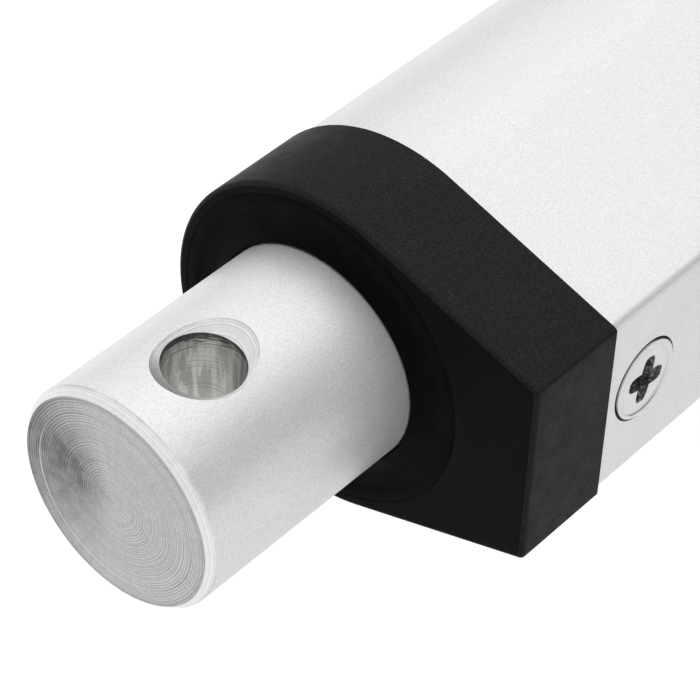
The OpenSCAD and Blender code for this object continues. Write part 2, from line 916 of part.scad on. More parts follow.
// A retaining ring, open on one side, on a groove in a shaft
module clip(x, shaft_r) {
    along_x(x)
        difference() {
            cylinder(h = clip_thick, r = shaft_r + clip_rise);
            translate([0, 0, -1])
                cylinder(h = clip_thick + 2, r = shaft_r - clip_depth + EPS);
            translate([0, -shaft_r * 0.7, -1])
                cube([shaft_r + clip_rise + 1, shaft_r * 1.4, clip_thick + 2]);
        }
}

module clip_groove(x, shaft_r) {
    ring(x - EPS, x + clip_thick + EPS, shaft_r + 1, shaft_r - clip_depth);
}

module lead_screw() {
    thread_bevel = 0.8;
    color(STEEL)
        difference() {
            turned([
                [tail_back, 0],
                [tail_back, tail_r - 0.4],
                [tail_back + 0.4, tail_r],
                [housing_back, tail_r],
                [housing_back, seat_r],
                [bearing_front, seat_r],
                [bearing_front, collar_r],
                [collar_end, collar_r],
                [collar_end, screw_r - thread_bevel],
                [collar_end + thread_bevel, screw_r],
                [guide_back - thread_bevel, screw_r],
                [guide_back, screw_r - thread_bevel],
                [guide_back, tail_r],
                [screw_front - 0.4, tail_r],
                [screw_front, tail_r - 0.4],
                [screw_front, 0]
            ]);
            for (x = shaft_clip_xs)
                clip_groove(x, seat_r);
            clip_groove(guide_clip_x, tail_r);
            translate([spindle_x + 0.5 - EPS, -key_size / 2 - EPS, seat_r - key_size * 0.55 - EPS])
                cube([spindle_width - 1 + 2 * EPS, key_size + 2 * EPS, key_size]);
        }
}

module screw_end_guide() {
    color(ACETAL)
        ring(guide_back + EPS, guide_back + guide_length, rod_bore_r - 0.2, tail_r + EPS);
}

module guide_clip() {
    color(STEEL)
        clip(guide_clip_x, tail_r);
}

module shaft_clips() {
    color(STEEL)
        for (x = shaft_clip_xs)
            clip(x, seat_r);
}

module gear_key() {
    color(STEEL)
        translate([spindle_x + 0.5, -key_size / 2, seat_r - key_size * 0.55])
            cube([spindle_width - 1, key_size, key_size]);
}

module spindle_gear() {
    hub_r = seat_r + 3;
    rim_r = spindle_tip_r - 4 * second_module;
    web_cut = spindle_width * 0.22;
    hole_r = (rim_r - hub_r) / 2 - 0.8;
    color(STEEL)
        difference() {
            gear_blank(spindle_x, spindle_front, spindle_teeth, second_module, spindle_phase);
            ring(spindle_x - 1, spindle_x + web_cut, rim_r, hub_r);
            ring(spindle_front - web_cut, spindle_front + 1, rim_r, hub_r);
            bar(spindle_x - 1, spindle_front + 1, seat_r + EPS);
            translate([spindle_x - 1, -key_size / 2 - EPS, 0])
                cube([spindle_width + 2, key_size + 2 * EPS, seat_r + key_size * 0.45 + EPS]);
            for (a = [36 : 72 : 359])
                rotate([a, 0, 0])
                    translate([0, 0, (rim_r + hub_r) / 2])
                        bar(spindle_x, spindle_front, hole_r);
        }
}

// ---------------------------------------------------------------- bearing

ball_r = ball_d / 2;
race_pitch = (bearing_d / 2 + seat_r) / 2;
groove_r = ball_r + 0.04;
bearing_mid = bearing_x + bearing_width / 2;

module race_groove() {
    rotate([0, 90, 0])
        rotate_extrude()
            translate([race_pitch, 0])
                circle(r = groove_r, $fn = 48);
}

module bearing_outer_ring() {
    color(STEEL)
        difference() {
            ring(bearing_x, bearing_front, bearing_d / 2, race_pitch + ball_r * 0.87);
            translate([bearing_mid, 0, 0])
                race_groove();
        }
}

module bearing_inner_ring() {
    color(STEEL)
        difference() {
            ring(bearing_x, bearing_front, race_pitch - ball_r * 0.87, seat_r + EPS);
            translate([bearing_mid, 0, 0])
                race_groove();
        }
}

module ball_pattern(r) {
    for (k = [0 : ball_count - 1])
        let (a = k * 360 / ball_count)
            translate([bearing_mid, race_pitch * cos(a), race_pitch * sin(a)])
                sphere(r = r, $fn = 48);
}

module bearing_balls() {
    color([0.75, 0.76, 0.78])
        ball_pattern(ball_r);
}

// A one-piece crown cage: a ring with pockets that are open to the front
module bearing_cage() {
    cage_back = bearing_mid - ball_r * 1.4;
    cage_front = bearing_mid + ball_r * 0.5;
    cage_half = 0.55;
    color(BRONZE)
        difference() {
            ring(cage_back, cage_front, race_pitch + cage_half, race_pitch - cage_half);
            for (k = [0 : ball_count - 1])
                rotate([k * 360 / ball_count, 0, 0])
                    translate([bearing_mid, race_pitch - 2, 0])
                        rotate([-90, 0, 0])
                            cylinder(h = 4, r = ball_r + 0.06);
        }
}

// ------------------------------------------------------------------ idler

hub_ends = 0.2;
idler_hub_r = idler_tip_r * 0.68;

module idler_pinion() {
    color(STEEL)
        at_idler()
            difference() {
                union() {
                    gear_blank(spindle_x - hub_ends, spindle_front, idler_teeth, second_module, 180);
                    bar(spindle_front - 1, wheel_front + hub_ends, idler_hub_r);
                }
                bar(spindle_x - 1, wall_x, axle_r + RUN);
            }
}

module idler_wheel() {
    rim_r = wheel_tip_r - 4.2 * first_module;
    hub_r = idler_hub_r + 2.4;
    web_cut = wheel_width * 0.28;
    hole_r = (rim_r - hub_r) / 2 - 0.8;
    color(ACETAL)
        at_idler()
            difference() {
                gear_blank(wheel_x, wheel_front, wheel_teeth, first_module, wheel_phase);
                bar(wheel_x - 1, wheel_front + 1, idler_hub_r + EPS);
                ring(wheel_x - 1, wheel_x + web_cut, rim_r, hub_r);
                ring(wheel_front - web_cut, wheel_front + 1, rim_r, hub_r);
                for (a = [0 : 60 : 359])
                    rotate([a, 0, 0])
                        translate([0, 0, (rim_r + hub_r) / 2])
                            bar(wheel_x, wheel_front, hole_r);
            }
}

module idler_axle() {
    color(STEEL)
        at_idler()
            bar(cover_front - axle_seat + 0.1, block_front - 0.3, axle_r);
}

module idler_washers() {
    washer = 0.6;
    washer_r = axle_r + 2.5;
    color(BRONZE)
        at_idler() {
            ring(cover_front, cover_front + washer, washer_r, axle_r + EPS);
            ring(wall_x - washer - EPS, wall_x - EPS, washer_r, axle_r + EPS);
        }
}

// ------------------------------------------------------------------ motor

module motor_pinion() {
    color(BRONZE)
        at_motor()
            difference() {
                gear_blank(wheel_x - 0.3, wheel_front + 0.3, motor_teeth, first_module, 180);
                bar(wheel_x - 1, wall_x, motor_shaft_r + EPS);
            }
}

module motor_shaft() {
    color(STEEL)
        at_motor()
            bar(wheel_x - 0.8, bell_front - 0.3, motor_shaft_r);
}

// One pole of the armature: a neck and a curved shoe
module pole() {
    span = 0.38 * 360 / pole_count;
    length = core_front - core_back;
    translate([core_back, motor_shaft_r + 1, -pole_neck / 2])
        cube([length, core_r - motor_shaft_r - 2, pole_neck]);
    along_x(core_back)
        linear_extrude(length)
            polygon(concat(
                arc([0, 0], core_r, -span, span, 2 * ARC_STEPS),
                arc([0, 0], core_r - pole_shoe, span, -span, 2 * ARC_STEPS)
            ));
}

module armature_core() {
    color([0.36, 0.37, 0.39])
        at_motor()
            difference() {
                union() {
                    bar(core_back, core_front, core_r * 0.36);
                    for (k = [0 : pole_count - 1])
                        rotate([k * 360 / pole_count, 0, 0])
                            pole();
                }
                bar(core_back - 1, core_front + 1, motor_shaft_r + EPS);
            }
}

// The copper coils: one bundle on each side of every pole, and the end turns
module armature_windings() {
    coil_in = core_r * 0.36 + coil_gap;
    coil_out = core_r - pole_shoe - coil_gap;
    color(COPPER)
        at_motor()
            difference() {
                union() {
                    ring(core_back - winding_overhang, core_back - EPS, coil_out, motor_shaft_r + 1.5);
                    ring(core_front + EPS, core_front + winding_overhang, coil_out, motor_shaft_r + 1.5);
                    for (k = [0 : pole_count - 1])
                        rotate([(k + 0.5) * 360 / pole_count, 0, 0])
                            translate([core_back - 1, 0, 0])
                                winding_bundle(coil_in + 1.4, coil_out - 0.4, core_front - core_back + 2);
                }
                bar(core_back - 6, core_front + 6, motor_shaft_r + 1.4);
            }
}

// The wire that fills the slot between two poles, from its narrow end out to a radius
module winding_bundle(from, to, length) {
    half = 180 / pole_count - asin((pole_neck / 2 + coil_side_gap) / to);
    rotate([90, 0, 90])
        linear_extrude(length)
            polygon(concat([[from, -0.1]], arc([0, 0], to, -half, half, 4), [[from, 0.1]]));
}

module commutator() {
    slit = 0.5;
    color(COPPER)
        at_motor()
            difference() {
                ring(commutator_x, commutator_x + commutator_length, commutator_r, motor_shaft_r + EPS);
                for (k = [0 : pole_count - 1])
                    rotate([(k + 0.25) * 360 / pole_count, 0, 0])
                        translate([commutator_x - 1, -slit / 2, commutator_r - 0.9])
                            cube([commutator_length + 2, slit, 2]);
            }
}

module motor_can() {
    color(STEEL)
        at_motor()
            difference() {
                union() {
                    turned(concat(
                        [[motor_face, 0]],
                        arc([motor_face + can_round, can_r - can_round], can_round, 180, 90, ARC_STEPS),
                        [[can_end, can_r], [can_end, 0]]
                    ));
                    bar(motor_face - boss_height, motor_face + 1, boss_r);
                }
                bar(motor_face + can_floor, can_end + 1, can_r - can_wall);
                bar(motor_face - boss_height - 1, motor_face + 2, motor_bush_r + EPS);
                for (side = [-1, 1])
                    translate([0, 0, side * motor_screw_z])
                        bar(motor_face - 1, motor_face + 3, m3_r + RUN);
            }
}

module motor_magnets() {
    x0 = motor_face + 5;
    x1 = core_front + 4;
    gap = magnet_r * 0.28;
    color([0.24, 0.24, 0.26])
        at_motor()
            difference() {
                ring(x0, x1, magnet_r, magnet_r - magnet_thick);
                translate([x0 - 1, -magnet_r - 1, -gap])
                    cube([x1 - x0 + 2, 2 * magnet_r + 2, 2 * gap]);
            }
}

module motor_bushes() {
    way_r = motor_shaft_r + 0.03;
    color(BRONZE)
        at_motor() {
            ring(motor_face - boss_height + 0.2, motor_face + can_floor, motor_bush_r, way_r);
            ring(bell_x + 0.1, bell_front - 0.1, motor_bush_r, way_r);
        }
}

brush_x = commutator_x + commutator_length / 2;
brush_half = 1.8;
brush_reach = 6.5;

// The moulded plate that closes the can and holds brushes and rear bush
module brush_plate() {
    holder_back = brush_x - brush_half - 0.8;
    holder_low = commutator_r + 1.2;
    color([0.20, 0.20, 0.22])
        at_motor()
            difference() {
                union() {
                    bar(bell_x, can_end - EPS, can_r - can_wall - EPS);
                    bar(bell_x + 1, bell_front, motor_bush_r + 3);
                    for (side = [0, 180])
                        rotate([side, 0, 0])
                            translate([holder_back, -brush_half - 0.8, holder_low])
                                cube([bell_x + 1 - holder_back, 2 * brush_half + 1.6, brush_reach]);
                }
                bar(bell_x - 1, bell_front + 1, motor_bush_r + EPS);
                for (side = [0, 180])
                    rotate([side, 0, 0])
                        translate([brush_x - brush_half - EPS, -brush_half - EPS, 0])
                            cube([2 * brush_half + 2 * EPS, 2 * brush_half + 2 * EPS, can_r]);
            }
}

module motor_brushes() {
    color([0.18, 0.18, 0.18])
        at_motor()
            for (side = [0, 180])
                rotate([side, 0, 0])
                    difference() {
                        translate([brush_x - brush_half, -brush_half, commutator_r - 1])
                            cube([2 * brush_half, 2 * brush_half, brush_reach]);
                        bar(brush_x - 5, brush_x + 5, commutator_r + RUN);
                    }
}

module motor_terminals() {
    color(COPPER)
        at_motor()
            for (side = [-1, 1])
                translate([can_end, side * 9, 0])
                    translate([0, -0.25, -1.5])
                        cube([5.5, 0.5, 3]);
}

module motor_screws() {
    color(STEEL)
        at_motor()
            for (side = [-1, 1])
                translate([motor_face - 4, 0, side * motor_screw_z])
                    rotate([0, -90, 0])
                        pan_screw(m3_r, m3_head_r, m3_head, 5.5);
}

// The countersunk screws through the motor shell at station x
module on_shell(x) {
    at_motor()
        for (a = shell_screw_angles)
            rotate([a - 90, 0, 0])
                translate([x, 0, shell_r])
                    children();
}

module motor_shell() {
    color(ALUMINIUM)
        difference() {
            at_motor()
                ring(block_front, shell_front, shell_r, shell_bore_r);
            for (x = [block_front + shell_spigot / 2, end_spigot_x + 3.4])
                on_shell(x)
                    sunk_hole(m3_r, m3_head_r, 4, 0.08);
        }
}

module shell_screws() {
    color(STEEL)
        on_shell(block_front + shell_spigot / 2)
            translate([0, 0, -head_sink])
                sunk_screw(m3_r, m3_head_r, shell_screw_length);
}

module end_cap_screws() {
    color(STEEL)
        on_shell(end_spigot_x + 3.4)
            translate([0, 0, -head_sink])
                sunk_screw(m3_r, m3_head_r, shell_screw_length);
}

module motor_end_cap() {
    inner_r = end_spigot_r - 2.6;
    dish_r = shell_r - end_round - 3;
    dish_in = grommet_neck_r + 3;
    color(BLACK)
        at_motor()
            difference() {
                turned(concat(
                    [[end_spigot_x, inner_r], [end_spigot_x, end_spigot_r], [shell_front, end_spigot_r]],
                    [[shell_front, shell_r]],
                    arc([end_front - end_round, shell_r - end_round], end_round, 90, 0, 2 * ARC_STEPS),
                    [[end_front, dish_r], [end_front - end_dish, dish_r - end_dish]],
                    [[end_front - end_dish, dish_in + end_dish], [end_front, dish_in]],
                    [[end_front, 0], [end_front - end_wall, 0], [end_front - end_wall, inner_r]]
                ));
                bar(end_front - end_wall - 1, end_front + 1, grommet_neck_r + EPS);
                for (a = shell_screw_angles)
                    rotate([a - 90, 0, 0])
                        translate([end_spigot_x + 3.4, 0, 0])
                            cylinder(h = shell_r, r = m3_r + RUN);
            }
}

// The rubber grommet that the cable would leave through
module cable_grommet() {
    lip = 1.6;
    color([0.13, 0.13, 0.13])
        at_motor()
            turned([
                [end_front - end_wall - 1.5, cable_r],
                [end_front - end_wall - 1.5, grommet_neck_r + lip],
                [end_front - end_wall - EPS, grommet_neck_r + lip],
                [end_front - end_wall - EPS, grommet_neck_r],
                [end_front + EPS, grommet_neck_r],
                [end_front + EPS, grommet_neck_r + lip],
                [end_front + 0.8, grommet_neck_r + lip],
                [end_front + 2, grommet_neck_r + lip - 1.2],
                [end_front + 2, cable_r]
            ]);
}

// --------------------------------------------------------- limit switches

module switch_board() {
    color([0.10, 0.32, 0.16])
        translate([tube_back + switch_inset, switch_high, -board_half])
            cube([front_switch_end - tube_back - switch_inset, board_thick, 2 * board_half]);
}

// A switch between stations x0 and x1 whose plunger leaves at face, with the
// two holes that it is pinned through
module limit_switch(x0, x1, face) {
    inward = face > x0 ? -1 : 1;
    hole_depth = 3;
    hole_ends = [face + inward * hole_depth, face - inward];
    pin_hole_r = 1;
    pin_hole_z = switch_width / 4;
    color([0.15, 0.15, 0.17])
        difference() {
            translate([x0, switch_low, -switch_width / 2])
                cube([x1 - x0, switch_height, switch_width]);
            translate([0, plunger_y, 0])
                bar(min(hole_ends), max(hole_ends), plunger_d / 2 + RUN);
            for (side = [-1, 1])
                translate([(x0 + x1) / 2, switch_low - 1, side * pin_hole_z])
                    rotate([-90, 0, 0])
                        cylinder(h = switch_height + 2, r = pin_hole_r);
        }
}

module rear_switch() {
    limit_switch(rear_switch_x, rear_face, rear_face);
}

module front_switch() {
    limit_switch(front_face, front_switch_end, front_face);
}

plunger_length = plunger_proud + 1.9;

module rear_plunger() {
    color([0.80, 0.20, 0.14])
        translate([0, plunger_y, 0])
            bar(rear_face + plunger_proud - plunger_length, rear_face + plunger_proud, plunger_d / 2);
}

module front_plunger() {
    color([0.80, 0.20, 0.14])
        translate([0, plunger_y, 0])
            bar(front_tip, front_tip + plunger_length, plunger_d / 2);
}

rear_cover();
rear_eye_bush();
tail_bush();
cover_gasket();
cover_screws();
gear_housing();
tube_screws();
bearing_retainer();
body_tube();
cap_screw();
front_cap();
guide_bush();
wiper_seal();
rod_tube();
rod_end_plug();
drive_nut();
nut_pins();
lead_screw();
screw_end_guide();
guide_clip();
shaft_clips();
spindle_gear();
gear_key();
bearing_inner_ring();
bearing_outer_ring();
bearing_balls();
bearing_cage();
idler_wheel();
idler_pinion();
idler_axle();
idler_washers();
motor_pinion();
motor_shaft();
armature_core();
armature_windings();
commutator();
motor_can();
motor_magnets();
motor_bushes();
brush_plate();
motor_brushes();
motor_terminals();
motor_screws();
motor_shell();
shell_screws();
motor_end_cap();
end_cap_screws();
cable_grommet();
switch_board();
rear_switch();
front_switch();
rear_plunger();
front_plunger();
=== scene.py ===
"""Surfaces and finishes of a tubular linear actuator.

A rod slides out of a profiled tube, driven by a lead screw, with the motor in
its own shell beside the tube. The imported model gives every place: X runs from
the rear eye to the rod's end, Y from the lead screw to the motor, Z along the
rear mounting pin. Lengths are in millimetres here and become metres in the mesh.
"""
import json
import math

import bpy
import bmesh
import numpy as np
from bpy.props import FloatProperty, FloatVectorProperty, PointerProperty
from mathutils import Matrix, Vector

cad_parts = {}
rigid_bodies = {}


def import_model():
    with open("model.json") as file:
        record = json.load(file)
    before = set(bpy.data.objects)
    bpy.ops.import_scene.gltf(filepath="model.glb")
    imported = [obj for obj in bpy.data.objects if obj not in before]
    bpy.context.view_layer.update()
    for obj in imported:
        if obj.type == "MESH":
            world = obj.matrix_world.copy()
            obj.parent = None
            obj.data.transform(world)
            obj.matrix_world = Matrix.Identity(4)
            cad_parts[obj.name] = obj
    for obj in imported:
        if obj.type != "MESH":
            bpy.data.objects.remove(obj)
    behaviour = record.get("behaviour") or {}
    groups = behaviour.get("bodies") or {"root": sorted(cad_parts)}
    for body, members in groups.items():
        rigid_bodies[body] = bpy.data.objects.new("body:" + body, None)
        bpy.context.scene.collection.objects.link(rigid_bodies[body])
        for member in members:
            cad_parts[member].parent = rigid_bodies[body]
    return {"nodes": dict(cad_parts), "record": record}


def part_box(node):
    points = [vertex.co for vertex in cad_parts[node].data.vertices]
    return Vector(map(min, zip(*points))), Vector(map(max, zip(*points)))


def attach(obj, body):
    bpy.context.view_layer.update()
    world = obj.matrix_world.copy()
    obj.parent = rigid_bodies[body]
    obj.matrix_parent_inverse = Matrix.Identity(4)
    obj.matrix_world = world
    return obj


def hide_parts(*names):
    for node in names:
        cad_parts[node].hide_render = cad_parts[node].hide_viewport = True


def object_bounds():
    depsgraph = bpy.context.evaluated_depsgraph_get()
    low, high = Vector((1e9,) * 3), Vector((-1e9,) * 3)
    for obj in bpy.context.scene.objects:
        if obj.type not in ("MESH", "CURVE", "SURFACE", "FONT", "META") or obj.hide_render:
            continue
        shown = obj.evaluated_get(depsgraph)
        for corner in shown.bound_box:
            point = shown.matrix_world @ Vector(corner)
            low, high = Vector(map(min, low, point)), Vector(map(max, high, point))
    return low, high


bl_info = {
    "name": "Linear actuator surfaces",
    "version": (1, 0, 0),
    "blender": (4, 5, 0),
    "location": "3D View > Sidebar > Actuator",
    "description": "Builds the modelled surfaces, finishes and stage of a linear actuator",
    "category": "Add Mesh",
}

for leftover in list(bpy.data.objects):
    bpy.data.objects.remove(leftover)
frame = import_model()
CAD_BOX = [list(corner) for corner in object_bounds()]

MM = 0.001
TURN = 2 * math.pi


# ------------------------------------------------------- places from the frame

def box(node):
    """Lowest and highest corner of a CAD node, in millimetres."""
    low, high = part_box(node)
    return np.array(low) / MM, np.array(high) / MM


def mount(name):
    """A mount of the record as its centre in millimetres, its axis and its radius."""
    found = next(m for m in frame["record"]["mounts"] if m["name"] == name)
    return np.array(found["pos_m"]) / MM, np.array(found["axis"], float), found["dims"]["r_mm"]


def node_points(node):
    """The vertices of a CAD node, in millimetres."""
    mesh = frame["nodes"][node].data
    points = np.empty(len(mesh.vertices) * 3)
    mesh.vertices.foreach_get("co", points)
    return points.reshape(-1, 3) / MM


def node_solids(node):
    """The vertices of each separate solid of a CAD node.

    Vertices at one place share a label, and every edge passes the lower label
    to its other end until nothing changes.
    """
    points = node_points(node)
    place = np.unique(np.round(points, 3), axis=0, return_inverse=True)[1].ravel()
    mesh = frame["nodes"][node].data
    edges = np.empty(len(mesh.edges) * 2, np.int64)
    mesh.edges.foreach_get("vertices", edges)
    a, b = place[edges.reshape(-1, 2)].T
    label = np.arange(place.max() + 1)
    while True:
        lower = np.minimum(label[a], label[b])
        new = label.copy()
        np.minimum.at(new, a, lower)
        np.minimum.at(new, b, lower)
        new = new[new]
        if np.array_equal(new, label):
            break
        label = new
    return [points[label[place] == k] for k in np.unique(label)]


ROD_LOW, ROD_HIGH = box("rod_tube")
PLUG_LOW, PLUG_HIGH = box("rod_end_plug")
TUBE_LOW, TUBE_HIGH = box("body_tube")
CAP_LOW, CAP_HIGH = box("front_cap")
SEAL_LOW, SEAL_HIGH = box("wiper_seal")
BUSH_HIGH = box("guide_bush")[1]
BOARD_LOW, BOARD_HIGH = box("switch_board")
SWITCH_HIGH = box("front_switch")[1]
SHELL_LOW, SHELL_HIGH = box("motor_shell")
END_LOW, END_HIGH = box("motor_end_cap")
EYE_AT, EYE_AXIS, EYE_R = mount("front_eye")

FIT = 0.01  # room in a pressed joint
TUBE_FIT = 0.1  # room round a piece that is pushed into the body tube

ROD_R = ROD_HIGH[2]
ROD_END = ROD_HIGH[0]
PLUG_R = PLUG_HIGH[2]
ROD_BORE_R = PLUG_R + FIT
TUBE_R = TUBE_HIGH[2]
CAP_R = CAP_HIGH[2]
CAP_BACK = TUBE_HIGH[0]
CAP_FRONT = CAP_HIGH[0]
SEAL_R = SEAL_HIGH[2]
CHANNEL_TOP = BOARD_HIGH[1] + 0.4
CAP_SCREW_X = sum(corner[0] for corner in box("cap_screw")) / 2
EYE_ANGLE = math.atan2(EYE_AXIS[2], EYE_AXIS[1])
MOTOR_Y = (SHELL_LOW[1] + SHELL_HIGH[1]) / 2
SHELL_R = SHELL_HIGH[2]

END_WALL = 3.0  # front wall of the motor's end cap
M4_R, M3_R = 2.0, 1.5  # shanks of the larger and the smaller screws
ROD_COLUMNS = 144  # columns of cells round the rod and its plug
EYE_CELLS = 28  # cells along a window round the cross hole
WINDOW_HALF = 5.0  # half the square window round the cap screw


# ----------------------------------------------------------- surfaces and meshes

class Skin:
    """Grids of points that are welded into one closed mesh."""

    def __init__(self):
        self.points = []
        self.faces = []
        self.count = 0

    def add(self, grid, wrap_rows=False, wrap_columns=True, skip=None):
        """Adds a grid of rows by columns by 3, with a face between each four neighbours.

        A grid that wraps is joined to its own start. skip marks cells left open.
        The skin is handed back, so that a first grid can be added as it is made.
        """
        rows, columns = grid.shape[:2]
        i = np.arange(rows if wrap_rows else rows - 1)
        j = np.arange(columns if wrap_columns else columns - 1)
        i, j = np.meshgrid(i, j, indexing="ij")
        down, right = (i + 1) % rows, (j + 1) % columns
        cells = np.stack(
            [i * columns + j, down * columns + j, down * columns + right, i * columns + right], axis=-1
        )
        if skip is not None:
            cells = cells[~skip[: cells.shape[0], : cells.shape[1]]]
        self.points.append(grid.reshape(-1, 3))
        self.faces.append(cells.reshape(-1, 4) + self.count)
        self.count += rows * columns
        return self

    def mesh(self, name, sharp=32):
        """Welds points at one place, drops faces with no area and turns the rest outwards."""
        points = np.concatenate(self.points)
        faces = np.concatenate(self.faces)
        # The nudge keeps places on a rounding limit from falling to both sides of it.
        nudge = 0.0000137
        first, inverse = np.unique(
            np.round(points + nudge, 4), axis=0, return_index=True, return_inverse=True
        )[1:]
        faces = inverse.ravel()[faces]
        same = faces == np.roll(faces, -1, axis=1)
        quads = faces[~same.any(axis=1)]
        quads = quads[(quads[:, 0] != quads[:, 2]) & (quads[:, 1] != quads[:, 3])]
        folded = faces[same.sum(axis=1) == 1]
        keep = ~same[same.sum(axis=1) == 1]
        triangles = folded[keep].reshape(-1, 3)
        return make_mesh(name, points[first], quads, triangles, sharp)


def make_mesh(name, points, quads, triangles, sharp):
    """A mesh in metres from points in millimetres, four-sided faces and triangles."""
    mesh = bpy.data.meshes.new(name)
    mesh.vertices.add(len(points))
    mesh.vertices.foreach_set("co", (points * MM).astype(np.float32).ravel())
    sides = np.concatenate([np.full(len(quads), 4), np.full(len(triangles), 3)])
    mesh.loops.add(int(sides.sum()))
    mesh.loops.foreach_set("vertex_index", np.concatenate([quads.ravel(), triangles.ravel()]))
    mesh.polygons.add(len(sides))
    mesh.polygons.foreach_set("loop_start", np.concatenate([[0], np.cumsum(sides)[:-1]]))
    mesh.update(calc_edges=True)
    work = bmesh.new()
    work.from_mesh(mesh)
    bmesh.ops.recalc_face_normals(work, faces=work.faces)
    open_edges = sum(1 for edge in work.edges if not edge.is_manifold)
    work.to_mesh(mesh)
    work.free()
    if open_edges:
        raise RuntimeError(f"{name} has {open_edges} open edges")
    mesh.shade_smooth()
    mesh.set_sharp_from_angle(angle=math.radians(sharp))
    return mesh


def add_piece(mesh, body, slot, *nodes):
    """Puts a mesh into the scene as a piece that rides on a body and stands for CAD nodes."""
    piece = bpy.data.objects.new(mesh.name, mesh)
    bpy.context.scene.collection.objects.link(piece)
    mesh.materials.append(finish(slot))
    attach(piece, body)
    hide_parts(*nodes)
    return piece


def part_finish(piece, name, chosen):
    """Gives a second finish to the faces that chosen picks from their centres, in millimetres."""
    mesh = piece.data
    mesh.materials.append(finish(name))
    centres = np.empty(len(mesh.polygons) * 3)
    mesh.polygons.foreach_get("center", centres)
    picked = chosen(centres.reshape(-1, 3) / MM)
    index = np.empty(len(mesh.polygons), np.int32)
    mesh.polygons.foreach_get("material_index", index)
    index[picked] = len(mesh.materials) - 1
    mesh.polygons.foreach_set("material_index", index)


def round_x(x, r, angles):
    """Points about the X axis, at angles from +Y towards +Z: (x, r cos angle, r sin angle)."""
    return np.stack(np.broadcast_arrays(x, r * np.cos(angles), r * np.sin(angles)), axis=-1)


def lathe(rows, angles):
    """Circles about the X axis: row i has station rows[i][0] and radius rows[i][1]."""
    x, r = np.asarray(rows, float).T[:, :, None]
    return round_x(x, r, angles)


def even_angles(count, start=0.0):
    """Angles in even steps round a whole turn."""
    return start + np.arange(count) * TURN / count


def bend(centre, radius, start, end, steps):
    """Rows [station, radius] on an arc: centre + radius * (cos, sin) of an angle that
    runs from start to end, in degrees."""
    a = np.radians(np.linspace(start, end, steps + 1))
    return np.stack([centre[0] + radius * np.cos(a), centre[1] + radius * np.sin(a)], axis=-1)


def straight(start, end, steps):
    """Places or points at equal steps from start to end."""
    return np.linspace(start, end, steps + 1)


def about_motor(points):
    """A turning about the X axis, moved along Y to the motor's axis."""
    return points + np.array([0.0, MOTOR_Y, 0.0])


# ------------------------------------------------------------- holes across a turning

def round_rim(radius):
    """Rim of a hole without a countersink: the same radius all round."""
    return lambda phi, surface_r: np.full_like(phi, radius)


def sunk_rim(phi, radius, slope, floor, surface_r):
    """Radius of a countersink's rim on a cylinder, at the angle phi round the hole's own axis.

    The cone starts at the height floor with the hole's radius and widens by
    slope for each one that the cylinder's surface stands above it, so the
    rim is the fixed point of r = radius + slope * (height(r) - floor).
    """
    rim = np.full_like(phi, radius)
    for _ in range(60):
        height = np.sqrt(surface_r ** 2 - (rim * np.sin(phi)) ** 2)
        rim = radius + slope * np.maximum(height - floor, 0)
    return rim


def cut_window(skin, rows, angles, skip, radius, window, hole):
    """Opens cells of a turned grid round a hole and fills them up to the hole's rim.

    The cells lie on the rows of a radius whose stations are in the window. The
    hole is a dict with its station x, the angle of its axis, its side (1 or -1
    along that axis), the columns that its window takes to either side and a
    function rim(phi, surface radius). Along the window's edge each grid point
    looks towards the hole's axis at an angle phi, and the fill runs in straight
    steps of station and angle from the rim's point at phi to that grid point.
    """
    first, last = rows_between(rows, radius, window[0], window[-1])
    count = len(angles)
    step = TURN / count
    axis = hole["angle"] + (0 if hole["side"] > 0 else math.pi)
    middle = round((axis - angles[0]) / step)
    columns = np.arange(middle - hole["columns"], middle + hole["columns"] + 1)
    turned = angles[0] + columns * step
    along_x = rows[first : last + 1, 0]
    skip[first:last, columns[:-1] % count] = True
    right, bottom = len(columns) - 1, len(along_x) - 1
    i = np.concatenate([
        np.zeros(right, int), np.arange(bottom), np.full(right, bottom), np.arange(bottom, 0, -1)
    ])
    j = np.concatenate([
        np.arange(right), np.full(bottom, right), np.arange(right, 0, -1), np.zeros(bottom, int)
    ])
    across = hole["side"] * (turned[j] - axis)
    along = along_x[i] - hole["x"]
    phi = np.arctan2(across / (hole["columns"] * step), along / (np.ptp(along_x) / 2))
    rim = hole["rim"](phi, radius)
    rim_x = rim * np.cos(phi)
    rim_angle = np.arcsin(rim * np.sin(phi) / radius)
    share = np.linspace(0, 1, 7)[:, None]
    x = hole["x"] + rim_x + (along - rim_x) * share
    a = axis + hole["side"] * (rim_angle + (across - rim_angle) * share)
    skin.add(round_x(x, radius, a))
    return phi


def hole_wall(skin, hole, phi, radii, heights):
    """The wall of a hole: row i has radii[i] round the hole's axis at heights[i] along it.

    At the angle phi a point stands radius * cos(phi) along X and radius * sin(phi)
    across from the hole's axis, which leans from +Y by the hole's angle.
    """
    u, v = math.cos(hole["angle"]), math.sin(hole["angle"])
    t = radii * np.sin(phi)
    h = hole["side"] * heights
    skin.add(np.stack([hole["x"] + radii * np.cos(phi), h * u - t * v, h * v + t * u], axis=-1))


def rows_between(rows, radius, x0, x1):
    """First and last index of the rows at a radius whose stations run between x0 and x1."""
    near = np.flatnonzero(
        np.isclose(rows[:, 1], radius) & (rows[:, 0] > x0 - FIT) & (rows[:, 0] < x1 + FIT)
    )
    return near[0], near[-1]


# ------------------------------------------------------------------------ threads

